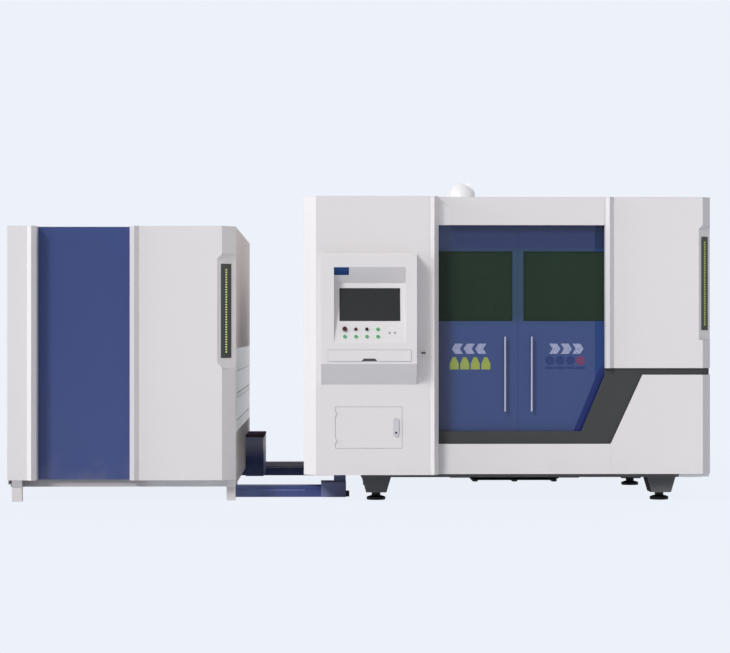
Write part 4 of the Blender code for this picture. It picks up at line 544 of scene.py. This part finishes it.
# painted shade on the left rib's right facet, which turns away from the lamps
rib_white = powder_coat("rib_white_coat", "#dfdbdc", 0.36,
                        tints=(past(X, 0.5520, 0.5590, "#85878b", 0.85),))
# painted shade on a facet of the cover's rib
cover_white = powder_coat("cabinet_cover_coat", "#dbd7d8", 0.36,
                          tints=(before(X, -1.6345, -1.6325, "#c9c6cb"),))
base_grey = powder_coat("cabinet_base_coat", "#d6d0d2", 0.42, dust=0.15,
                        tints=(ring_left, ring_right))
hood_white = powder_coat("bright_white_coat", "#e6e5e8", 0.4)
wall_white = powder_coat("warm_white_coat", "#d6cec9", 0.55, dust=0.05, gloss=0.4,
                         polished=(0.50, 1.108, 0.24))
latch_grey = powder_coat("pale_latch_coat", "#c6c3c7", 0.34)
# painted shade: a greyer white for the lamp recess on the shaded right chamfer
bar_shaded_white = powder_coat("lamp_recess_shaded_coat", "#cac7ca", 0.42)
print("white paints", header_white.name, cover_white.name, wall_white.name)

# %% [markdown]
# ## Metal, glass and plastic
#
# The bar handles are drawn aluminium with fine lines along them. The pallet slats are
# raw steel that the laser has scorched, so they are dark and brown in places. The windows
# are green laser-safe acrylic, which lets only a little of the inside through. Glass that
# bends light would be slow here and would show no more, so the sheets are paint with a
# little transparency.

# %% Metals
SHIELD_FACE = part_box("cabinet_right_wall")[LOW][X] - 0.0015


def drawn_metal(name, code, roughness, stretch):
    """Metal with fine lines that run where the stretch is small."""
    metal = Finish(name, code, roughness, 1.0)
    streaks = metal.noise(600.0, 2.0, stretch)
    clouds = metal.noise(9.0, 3.0)
    grain = clouds * 0.6 + streaks * 0.4
    metal.set("Base Color", metal.blend(grain, colour(code), lighter(code, 1.15)))
    metal.set("Roughness", streaks * 0.12 + clouds * 0.06 + (roughness - 0.09))
    metal.bump(streaks, 0.00004, 0.4)
    return metal.material


def scorched_steel(name):
    """Raw plate with mill scale and brown burns. The shield plates at its edge are white."""
    metal = Finish(name, "#77716b", 0.6, 0.75)
    scale = metal.noise(14.0, 5.0)
    spots = metal.noise(90.0, 3.0)
    burn = metal.ramp(spots * 0.6 + scale * 0.6, 0.45, 0.8)
    raw = metal.blend(scale, colour("#6f6a66"), colour("#8b8781"))
    plate = metal.part(X) > SHIELD_FACE
    raw = metal.blend(burn, raw, colour("#4a3a30"))
    metal.set("Base Color", metal.blend(plate, raw, colour("#cbc3be")))
    metal.set("Roughness", (burn * 0.3 + scale * 0.15 + 0.40) * (1.0 - plate) + plate * 0.22)
    metal.set("Metallic", (0.85 - burn * 0.5) * (1.0 - plate))
    metal.bump(spots * 0.5 + scale, 0.0004, 0.5)
    return metal.material


satin_handle = drawn_metal("drawn_aluminium", "#bdbac9", 0.34, (1.0, 1.0, 0.02))
slat_steel = scorched_steel("scorched_slat_steel")
print("metals", satin_handle.name, slat_steel.name)


# %% Glass and plastic
def tinted_sheet(name, code, roughness, alpha, gloss=0.2):
    """A coloured acrylic sheet with faint smears."""
    sheet = Finish(name, code, roughness)
    smears = sheet.noise(6.0, 4.0, (1.0, 1.0, 0.35))
    sheet.set("Base Color", sheet.blend(smears, colour(code), lighter(code, 1.35)))
    sheet.set("Roughness", smears * 0.08 + roughness)
    sheet.set("Alpha", alpha)
    sheet.set("Specular IOR Level", gloss)
    return sheet.material


def moulded(name, code, roughness, gloss=0.5):
    """Injection moulded plastic with a fine spark-eroded grain."""
    plastic = Finish(name, code, roughness)
    grains = plastic.noise(900.0, 1.0)
    drift = plastic.noise(30.0, 2.0)
    plastic.set("Base Color", plastic.blend(drift * 0.7, colour(code), lighter(code, 1.2)))
    plastic.set("Roughness", drift * 0.1 + (roughness - 0.05))
    plastic.set("Specular IOR Level", gloss)
    plastic.bump(grains, 0.00005, 0.4)
    return plastic.material


window_green = tinted_sheet("green_acrylic", "#243428", 0.08, 0.82, 0.12)
screen_glass = tinted_sheet("screen_glass", "#242426", 0.35, 1.0)
lamp_cover = tinted_sheet("smoked_lamp_cover", "#434442", 0.35, 1.0)
black_plastic = moulded("black_plastic", "#17171a", 0.45, 0.3)
red_plastic = moulded("red_plastic", "#3e0812", 0.35, 0.3)
green_plastic = moulded("green_plastic", "#5c9a70", 0.35, 0.3)
print("sheets", window_green.name, screen_glass.name, lamp_cover.name)
print("plastics", black_plastic.name, red_plastic.name, green_plastic.name)

# %% [markdown]
# ## Dressing the solids
#
# Each node of the CAD model takes its finish by name. A table of names is easier to read
# and to check than fifty single lines, and the loop stops if a name is wrong.

# %% Finishes by node
nodes = frame["nodes"]
finishes = {
    white: ["control_column_cover", "lower_front_cover", "main_left_side_cover",
            "main_right_side_cover", "main_rear_cover", "main_roof", "console_housing",
            "keyboard_drawer", "maintenance_door", "x_carriage", "cabinet_front_left_cover",
            "cabinet_left_wall", "cabinet_rear_wall", "cabinet_roof", "cabinet_light_bar"],
    rib_white: ["left_pilaster"],
    header_white: ["header_panel"],
    cover_white: ["cabinet_front_right_cover"],
    base_grey: ["cabinet_frame"],
    pilaster_white: ["right_pilaster"],
    latch_grey: ["maintenance_latch"],
    hood_white: ["roof_hood"],
    corner_white: ["right_column_cover", "lower_right_cover"],
    wall_white: ["cabinet_right_wall"],
    door_blue: ["left_door", "right_door"],
    panel_blue: ["cabinet_blue_panel"],
    beam_blue: ["front_tie_beam"],
    rear_blue: ["rear_tie_beam"],
    drive_blue: ["drive_unit_housing"],
    charcoal: ["sill_band"],
    inner_grey: ["enclosure_frame", "scrap_trough"],
    ring_grey: ["bed_frame"],
    bar_shaded_white: ["main_light_bar"],
    casting: ["gantry_beam", "cutting_head"],
    satin_handle: ["left_door_handle", "right_door_handle"],
    slat_steel: ["upper_pallet", "lower_pallet"],
    window_green: ["left_door_window", "right_door_window"],
    screen_glass: ["console_screen"],
    black_plastic: ["key_switch"],
    foot_black: ["foot_front_left", "foot_front_right", "foot_middle_left", "foot_middle_right",
                 "foot_rear_left", "foot_rear_right"],
    red_plastic: ["emergency_stop", "stop_button"],
    green_plastic: ["start_button", "laser_on_button", "gas_on_button", "light_on_button",
                    "reset_button"],
}
dressed = set()
for finish, names in finishes.items():
    for name in names:
        data = nodes[name].data
        data.materials.clear()
        data.materials.append(finish)
        dressed.add(name)
print("dressed", len(dressed), "left over", sorted(set(nodes) - dressed))

# %% [markdown]
# ## A workshop for small pieces
#
# Lamps, plates, keys and grips are all small solids with softened edges. One helper makes
# a softened block, another turns a finished bmesh into an object that stays at the origin
# and rides on its part of the machine. Depths are counted from the face of the control
# column, because most small parts of the front sit near it.

# %% Finished pieces
SHARP_ANGLE = math.radians(30)
QUARTER_TURN = math.radians(90)
depth_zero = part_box("control_column_cover")[LOW][Y] + 0.010


def depth(value):
    """The Y of a place that lies so far behind the face of the control column."""
    return depth_zero + value


def piece(name, shape, finish, body="machine"):
    """A finished object from a bmesh that is built in its final place."""
    bmesh.ops.recalc_face_normals(shape, faces=shape.faces)
    data = bpy.data.meshes.new(name)
    shape.to_mesh(data)
    shape.free()
    data.materials.append(finish)
    data.shade_smooth()
    data.set_sharp_from_angle(angle=SHARP_ANGLE)
    made = bpy.data.objects.new(name, data)
    bpy.context.scene.collection.objects.link(made)
    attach(made, body)


def placed(shape, matrix):
    """The shape, moved and turned by a matrix."""
    bmesh.ops.transform(shape, matrix=matrix, verts=shape.verts)
    return shape


def turn_to(place, angle, axis):
    """A matrix that turns a shape about an axis and then carries it to a place."""
    return Matrix.Translation(place) @ Matrix.Rotation(angle, 4, axis)


def span(middle, half):
    """The two places that lie so far to either side of a middle."""
    return middle - half, middle + half


def middle_of(box, axis):
    """The middle of a box along one axis."""
    return (box[LOW][axis] + box[HIGH][axis]) / 2


print("column face at y", round(depth(0.0), 4))


# %% Blocks and pulled shapes
def soften(shape, edges, width, segments):
    """Rounds some edges of a shape."""
    bmesh.ops.bevel(shape, geom=list(edges), offset=width, offset_type="OFFSET",
                    affect="EDGES", segments=segments, profile=0.5, material=-1,
                    clamp_overlap=True)


def slab(x, y, z, width, segments=2):
    """A block between three pairs of places, with softened edges."""
    shape = bmesh.new()
    bmesh.ops.create_cube(shape, size=1.0)
    spans = (x, y, z)
    bmesh.ops.scale(shape, verts=shape.verts, vec=[high - low for low, high in spans])
    bmesh.ops.translate(shape, verts=shape.verts, vec=[(low + high) / 2 for low, high in spans])
    soften(shape, shape.edges, width, segments)
    return shape


def pulled(shape, move):
    """A flat shape, pulled out along a move to a closed solid."""
    made = bmesh.ops.extrude_face_region(shape, geom=shape.faces[:], use_keep_orig=True)
    lifted = [part for part in made["geom"] if isinstance(part, bmesh.types.BMVert)]
    bmesh.ops.translate(shape, verts=lifted, vec=move)
    return shape


def put_together(shapes):
    """Joins several bmeshes into one."""
    whole = bmesh.new()
    for shape in shapes:
        data = bpy.data.meshes.new("part")
        shape.to_mesh(data)
        shape.free()
        whole.from_mesh(data)
        bpy.data.meshes.remove(data)
    return whole


print("shape tools", slab.__name__, pulled.__name__, put_together.__name__)

# %% [markdown]
# ## Light bars
#
# Each housing carries a signal lamp on its corner: a smoked strip in a slanted recess,
# with a row of yellow-green lights behind it. The strip lies on the slanted face of the
# lamp housing, so its parts are built flat and then turned into that plane.

# %% Lamp glow
def glowing(name, code, core, strength):
    """A lit diode: its colour shines, and its grains show a second colour."""
    lit = Finish(name, code, 0.4)
    lit.set("Emission Color", colour(code))
    lit.set("Emission Strength", strength)
    lit.set("Base Color", lit.blend(lit.noise(300.0, 1.0), colour(code), colour(core)))
    return lit.material


dim_diodes = glowing("dim_green_diodes", "#a0ac5c", "#c2ca7c", 0.08)
pale_diodes = glowing("pale_green_diodes", "#c0c884", "#d0d698", 0.42)
glow_green = moulded("dark_green_lens", "#3c5230", 0.4, 0.2)
print("diodes", dim_diodes.name, pale_diodes.name)

# %% Light strips
COVER_DEPTHS = (-0.0036, 0.001)
LENS_DEPTHS = (-0.0040, -0.0030)
DIODE_DEPTHS = (-0.0048, -0.0036)
COVER_LAP = 0.001
LENS_HALF = 0.0105
LENS_END = 0.012
DIODE_HALF_X, DIODE_HALF_Z = 0.0072, 0.0046


def light_strip(name, near, far, across, heights, lights, pitch, glow):
    """A smoked cover with a row of lit diodes on a slanted face.

    near and far are the (X, depth) corners of that face, across and heights the cover's
    limits in X and Z, and pitch the distance between two of its lights.
    """
    slope = math.atan2(far[1] - near[1], far[0] - near[0])
    start = (across[0] - near[0]) / math.cos(slope)
    width = (across[1] - across[0]) / math.cos(slope)
    turn = turn_to((near[0], depth(near[1]), 0.0), slope, "Z")
    cover = slab((start - COVER_LAP, start + width + COVER_LAP), COVER_DEPTHS,
                 (heights[0] - COVER_LAP, heights[1] + COVER_LAP), 0.0012)
    piece(f"{name}_cover", placed(cover, turn), lamp_cover)
    middle = start + width * 0.5
    reach = pitch * (lights - 1) / 2
    centre = (heights[0] + heights[1]) / 2
    lens = slab(span(middle, LENS_HALF), LENS_DEPTHS,
                (centre - reach - LENS_END, centre + reach + LENS_END), 0.0004)
    piece(f"{name}_lens", placed(lens, turn), glow_green)
    dots = []
    for index in range(lights):
        z = centre - reach + index * pitch
        dots.append(slab(span(middle, DIODE_HALF_X), DIODE_DEPTHS, span(z, DIODE_HALF_Z),
                         0.001, 1))
    piece(f"{name}_diodes", placed(put_together(dots), turn), glow)
    print(name, "slope", round(math.degrees(slope), 1), "diodes", lights)


light_strip("main_signal", near=(2.4643, 0.124), far=(2.5497, 0.1857),
            across=(2.4835, 2.5335), heights=(1.245, 1.922), lights=36, pitch=0.0171,
            glow=dim_diodes)
light_strip("cabinet_signal", near=(-1.0317, 0.154), far=(-0.9063, 0.2497),
            across=(-1.007, -0.936), heights=(1.043, 1.7255), lights=34, pitch=0.0181,
            glow=pale_diodes)

# %% [markdown]
# ## Marks on the doors
#
# White arrows on the doors show which way each one slides. They are printed as dots that
# let the blue through, so the arrow material mixes both with a fine grid. An arrow is two
# slanted halves that meet at its tip, because a bmesh face with a notch can fold over when
# it is cut into triangles.

# %% Printed arrows
ARROW_LENGTH = 0.0575
ARROW_REACH = 0.0235
ARROW_TOP = 1.1455
ARROW_HEIGHT = 0.0742
ARROW_LOW = ARROW_TOP - ARROW_HEIGHT
ARROW_MIDDLE = ARROW_TOP - ARROW_HEIGHT / 2
FILM_THICKNESS = 0.0006
TOUCHING = 0.00001


def dotted_print(name, ink, ground, cells):
    """Ink broken up by a grid of round gaps."""
    printed = Finish(name, ink, 0.45)
    dots = (printed.part(X) * cells).math("SINE") * (printed.part(Z) * cells).math("SINE")
    inked = printed.ramp(dots, 0.05, 0.35)
    printed.set("Base Color", printed.blend(inked, colour(ground), colour(ink)))
    printed.set("Specular IOR Level", 0.3)
    return printed.material


def plate(outline, face):
    """A thin printed film with the given outline of (X, Z) points on a front face."""
    shape = bmesh.new()
    shape.faces.new([shape.verts.new((x, face, z)) for x, z in outline])
    return pulled(shape, (0.0, -FILM_THICKNESS, 0.0))


def chevron(start, point, face):
    """One notched arrow from two halves. point is the reach of its tip, negative to the left."""
    end = start + ARROW_LENGTH
    near_tip, far_tip = (start + point, ARROW_MIDDLE), (end + point, ARROW_MIDDLE)
    upper = plate([(start, ARROW_TOP), near_tip, far_tip, (end, ARROW_TOP)], face)
    lower = plate([near_tip, (start, ARROW_LOW), (end, ARROW_LOW), far_tip], face)
    shape = put_together((upper, lower))
    bmesh.ops.remove_doubles(shape, verts=shape.verts, dist=TOUCHING)
    inner = [part for part in shape.faces
             if all(abs(vert.co.z - ARROW_MIDDLE) < TOUCHING for vert in part.verts)]
    bmesh.ops.delete(shape, geom=inner, context="FACES")
    return shape


arrow_print = dotted_print("dotted_white_arrows", "#d3d5e8", "#5f6996", 2100.0)


def arrow_row(name, face, body, starts, point):
    """Three arrows in a row on a door."""
    row = [chevron(start, point, face) for start in starts]
    piece(name, put_together(row), arrow_print, body)


left_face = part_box("left_door")[LOW][Y] - 0.0001
right_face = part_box("right_door")[LOW][Y] - 0.0001
arrow_row("left_door_arrows", left_face, "left_door_leaf", (0.695, 0.781, 0.8655), -ARROW_REACH)
arrow_row("right_door_arrows", right_face, "right_door_leaf", (1.381, 1.465, 1.5495),
          ARROW_REACH)
print("door faces", round(left_face, 4), round(right_face, 4))

# %% [markdown]
# ## Plain fields
#
# Below the arrows lie small coloured films, which stay blank here. A texture could draw
# them, but thin films keep crisp edges from every side, and each row rides on its door.
# A disc and a label are described once and then set out at an even pitch.

# %% Shapes of plain fields
DISC_THICKNESS = 0.0005
LABEL_CORNER = 0.003


def disc(x, z, radius, face):
    """A round film on a front face."""
    shape = bmesh.new()
    bmesh.ops.create_circle(shape, cap_ends=True, segments=40, radius=radius)
    pulled(shape, (0.0, 0.0, DISC_THICKNESS))
    return placed(shape, turn_to((x, face, z), QUARTER_TURN, "X"))


def label(x, z, width, height, face):
    """A plain film with rounded corners."""
    shape = plate([(x, z), (x + width, z), (x + width, z + height), (x, z + height)], face)
    across = [edge for edge in shape.edges
              if abs(edge.verts[0].co.y - edge.verts[1].co.y) > 0.0001]
    soften(shape, across, LABEL_CORNER, 3)
    return shape


def film(name, code):
    """Printed vinyl: a faint grain in the ink and a few worn specks."""
    ink = Finish(name, code, 0.42)
    specks = ink.ramp(ink.noise(260.0, 3.0), 0.62, 0.72)
    ink.set("Base Color", ink.blend(specks * 0.5, colour(code), colour("#4a5580")))
    ink.set("Specular IOR Level", 0.3)
    return ink.material


yellow_film = film("yellow_film", "#93a04a")
blue_film = film("deep_blue_film", "#26356b")
red_film = film("dull_red_film", "#6f3a5c")
print("films", yellow_film.name, blue_film.name, red_film.name)

# %% Plain fields
YELLOW_PITCH = 0.0767
BLUE_PITCH = 0.0757
DISC_RADIUS = 0.0325
LABEL_SIZE = (0.0650, 0.0180)
YELLOW_OUTLINE = ((0.0, 0.9580), (0.0655, 0.9580), (0.0655, 1.0010), (0.0440, 1.0470),
                  (0.0215, 1.0470), (0.0, 1.0010))
yellow = []
for index in range(4):
    left = 0.6558 + YELLOW_PITCH * index
    yellow.append(plate([(left + x, z) for x, z in YELLOW_OUTLINE], left_face))
piece("left_door_fields", put_together(yellow), yellow_film, "left_door_leaf")
blue = [disc(1.384 + BLUE_PITCH * index, 1.0232, DISC_RADIUS, right_face) for index in range(3)]
blue += [label(1.3515 + BLUE_PITCH * index, 0.9600, *LABEL_SIZE, right_face)
         for index in range(4)]
piece("right_door_fields", put_together(blue), blue_film, "right_door_leaf")
red = disc(1.6085, 1.0220, DISC_RADIUS, right_face)
piece("right_door_red_field", red, red_film, "right_door_leaf")
print("plain fields", len(yellow), len(blue), 1)

# %% [markdown]
# ## The left pilaster and the latch
#
# The left pilaster is folded, and a cap lies over its fold. Its bright left facet starts
# flush with the column and its right facet falls back to the doors. The cap has the same
# outline from foot to top, so that outline is drawn once and pulled upwards. The paddle of
# the latch has a dark lock in its round hole.

# %% Cap and lock
def prism(outline, low, high):
    """A solid with the given outline of (X, Y) points between two heights."""
    shape = bmesh.new()
    shape.faces.new([shape.verts.new((x, y, low)) for x, y in outline])
    return pulled(shape, (0.0, 0.0, high - low))


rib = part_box("left_pilaster")
left, ridge, right = rib[LOW][X], middle_of(rib, X), rib[HIGH][X]
cap_outline = [(left + 0.0006, depth(0.0006)), (ridge, depth(-0.0130)),
               (right - 0.0006, depth(0.0436)), (ridge, depth(0.0004)),
               (left + 0.0016, depth(0.0430))]
cap = prism(cap_outline, rib[LOW][Z] + 0.0005, rib[HIGH][Z] - 0.0005)
piece("left_pilaster_cap", cap, white)
LOCK_HEIGHT = 0.5050
LOCK_RADIUS = 0.0086
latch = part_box("maintenance_latch")
lock_grey = moulded("lock_grey", "#4a474c", 0.4, 0.3)
lock = disc(middle_of(latch, X), LOCK_HEIGHT, LOCK_RADIUS, latch[LOW][Y] + 0.0039)
piece("latch_lock", lock, lock_grey, "latch")
print("cap ridge x", round(ridge, 4), "latch", [round(value, 4) for value in latch[LOW]])

# %% [markdown]
# ## Small parts on the console
#
# A plain blue plate sits under the hood of the recess, and two small sockets sit beside
# the buttons. Both of these faces slant, so each part is built flat or upright and then
# turned into its face. The sockets are turned from a short outline, because a spin gives
# a round body with few faces.

# %% Console plate and sockets
HOOD_EDGE = 1.694
HOOD_SLOPE = math.radians(-48.74)
PANEL_FOOT = 1.150
PANEL_BACK = 0.100
PANEL_RISE = 0.430
SOCKET_HEIGHT = 1.224
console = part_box("console_housing")
console_face = console[LOW][Y]
plate_blue = moulded("blue_name_plate", "#0a3470", 0.35, 0.3)
grey_plastic = moulded("grey_plastic", "#9a969c", 0.4)
under_hood = turn_to((0.0, console_face, HOOD_EDGE), HOOD_SLOPE, "X")
name_plate = slab((-0.188, -0.0805), (0.002, 0.0738), (-0.0014, 0.0004), 0.0008)
piece("blank_name_plate", placed(name_plate, under_hood), plate_blue)


def on_panel(x, z):
    """A place on the tilted console panel, with Z pointing out of it."""
    back = (z - PANEL_FOOT) * PANEL_BACK / PANEL_RISE
    tilt = QUARTER_TURN - math.atan2(PANEL_BACK, PANEL_RISE)
    return turn_to((x, console_face + back, z), tilt, "X")


def turned(profile, place):
    """A round body with the given outline of (radius, height) points."""
    shape = bmesh.new()
    points = [shape.verts.new((radius, 0.0, height)) for radius, height in profile]
    line = [shape.edges.new(pair) for pair in zip(points, points[1:])]
    bmesh.ops.spin(shape, geom=points + line, cent=(0.0, 0.0, 0.0), axis=(0.0, 0.0, 1.0),
                   angle=math.tau, steps=32, use_duplicate=False)
    bmesh.ops.remove_doubles(shape, verts=shape.verts, dist=TOUCHING)
    return placed(shape, place)


socket = [(0.0, 0.0005), (0.0035, 0.0005), (0.0045, 0.0016), (0.0070, 0.0024), (0.0082, 0.0016),
          (0.0086, -0.0008), (0.0, -0.0008)]
for name, x in (("left_socket", 0.210), ("right_socket", 0.248)):
    piece(f"console_{name}", turned(socket, on_panel(x, SOCKET_HEIGHT)), grey_plastic)
print("console face y", round(console_face, 4))

# %% [markdown]
# ## Rings and a knob
#
# Each green button stands in a pale ring, and a small round knob sits on the console's
# right side. Both are turned like the sockets. The rings take their places from the boxes
# of the buttons, so none of them can miss its button.

# %% Button rings and side knob
ring_green = moulded("pale_ring_green", "#cdebd1", 0.4, 0.3)
knob_grey = moulded("knob_grey", "#59595c", 0.45, 0.3)
ring = [(0.0130, -0.0004), (0.0178, -0.0004), (0.0178, 0.0008), (0.0165, 0.0015),
        (0.0142, 0.0015), (0.0130, 0.0008), (0.0130, -0.0004)]
rings = []
for name in ("start_button", "laser_on_button", "gas_on_button", "light_on_button",
             "reset_button"):
    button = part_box(name)
    place = on_panel(middle_of(button, X), middle_of(button, Z) + 0.0002)
    rings.append(turned(ring, place))
piece("green_button_rings", put_together(rings), ring_green)
console_side = console[HIGH][X]
knob = [(0.0, -0.0006), (0.0065, -0.0006), (0.0065, 0.0060), (0.0080, 0.0070), (0.0080, 0.0300),
        (0.0070, 0.0320), (0.0, 0.0320)]
sideways = turn_to((console_side, depth(-0.060), 1.0800), QUARTER_TURN, "Y")
piece("console_side_knob", turned(knob, sideways), knob_grey)
print("rings", len(rings), "console side x", round(console_side, 4))

# %% [markdown]
# ## The keyboard drawer
#
# The drawer has a grey grip at its front edge and a flat keyboard in its tray. The keys
# could be a bump on one plate, but single keys catch the light at their edges, and rows
# of small blocks cost little. All of it rides on the drawer and slides out with it.

# %% Drawer grip and keyboard body
GRIP_HALF = 0.056
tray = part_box("keyboard_drawer")
tray_middle, tray_low = middle_of(tray, X), tray[LOW][Z]
grip_grey = moulded("dark_grey_grip", "#56565a", 0.5, 0.2)
grip = slab(span(tray_middle, GRIP_HALF), (console_face + 0.004, console_face + 0.009),
            (tray_low + 0.0005, tray_low + 0.022), 0.001)
piece("drawer_grip", grip, grip_grey, "drawer")
key_left = tray_middle - 0.215
body_low = tray_low + 0.030
board = slab((key_left - 0.008, key_left + 0.438), (depth(-0.142), depth(-0.018)),
             (body_low, body_low + 0.016), 0.003, 3)
piece("keyboard_body", board, black_plastic, "drawer")
print("tray low corner", [round(value, 4) for value in tray[LOW]])

# %% Keys
KEY_ROWS, KEY_COLUMNS = 5, 18
KEY_PITCH = (0.0240, 0.0230)
KEY_WIDTH, KEY_DEPTH = 0.0205, 0.0195
key_grey = moulded("keyboard_grey", "#3b3b40", 0.5, 0.3)
keys = []
for row in range(KEY_ROWS):
    for column in range(KEY_COLUMNS):
        x = key_left + column * KEY_PITCH[X]
        y = depth(-0.136 + row * KEY_PITCH[Y])
        keys.append(slab((x, x + KEY_WIDTH), (y, y + KEY_DEPTH),
                         (body_low + 0.015, body_low + 0.021), 0.002, 1))
piece("keyboard_keys", put_together(keys), key_grey, "drawer")
print("keys", len(keys))

# %% [markdown]
# ## The floor beams
#
# The drive box carries a dark lid, and a rounded nosing runs along the step of each beam,
# in a lighter paint that is a painted highlight on the step's edge. Both are small, but
# they give the low blue parts their edges.

# %% Lid and nosings
LID_OVERHANG = 0.002
LID_THICKNESS = 0.015
STEP_DEPTH = 0.020
NOSING_HALF = 0.004
lid_brown = powder_coat("dark_brown_lid", "#5a4a5c", 0.8, dust=0.0, gloss=0.0)
low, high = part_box("drive_unit_housing")
lid = slab((low[X], high[X] + LID_OVERHANG), (low[Y] - LID_OVERHANG, high[Y] + LID_OVERHANG),
           (high[Z] - LID_OVERHANG, high[Z] + LID_THICKNESS), 0.002)
piece("drive_lid", lid, lid_brown)


def nosing(name, beam, x, z, code):
    """A rounded strip along the step of a beam, behind its front, lighter as a painted
    highlight.
    """
    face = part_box(beam)[LOW][Y] + STEP_DEPTH
    paint = powder_coat(f"{name}_paint", code, 0.4, dust=0.0, gloss=0.3)
    piece(name, slab(x, span(face, NOSING_HALF), z, 0.003), paint)


nosing("front_nosing", "front_tie_beam", (-0.885, -0.400), (0.0465, 0.0575), "#6a78b4")
nosing("rear_nosing", "rear_tie_beam", (-0.880, -0.160), (0.0600, 0.0700), "#b0b4c4")
print("drive lid from z", round(high[Z] - LID_OVERHANG, 4), "and two nosings")
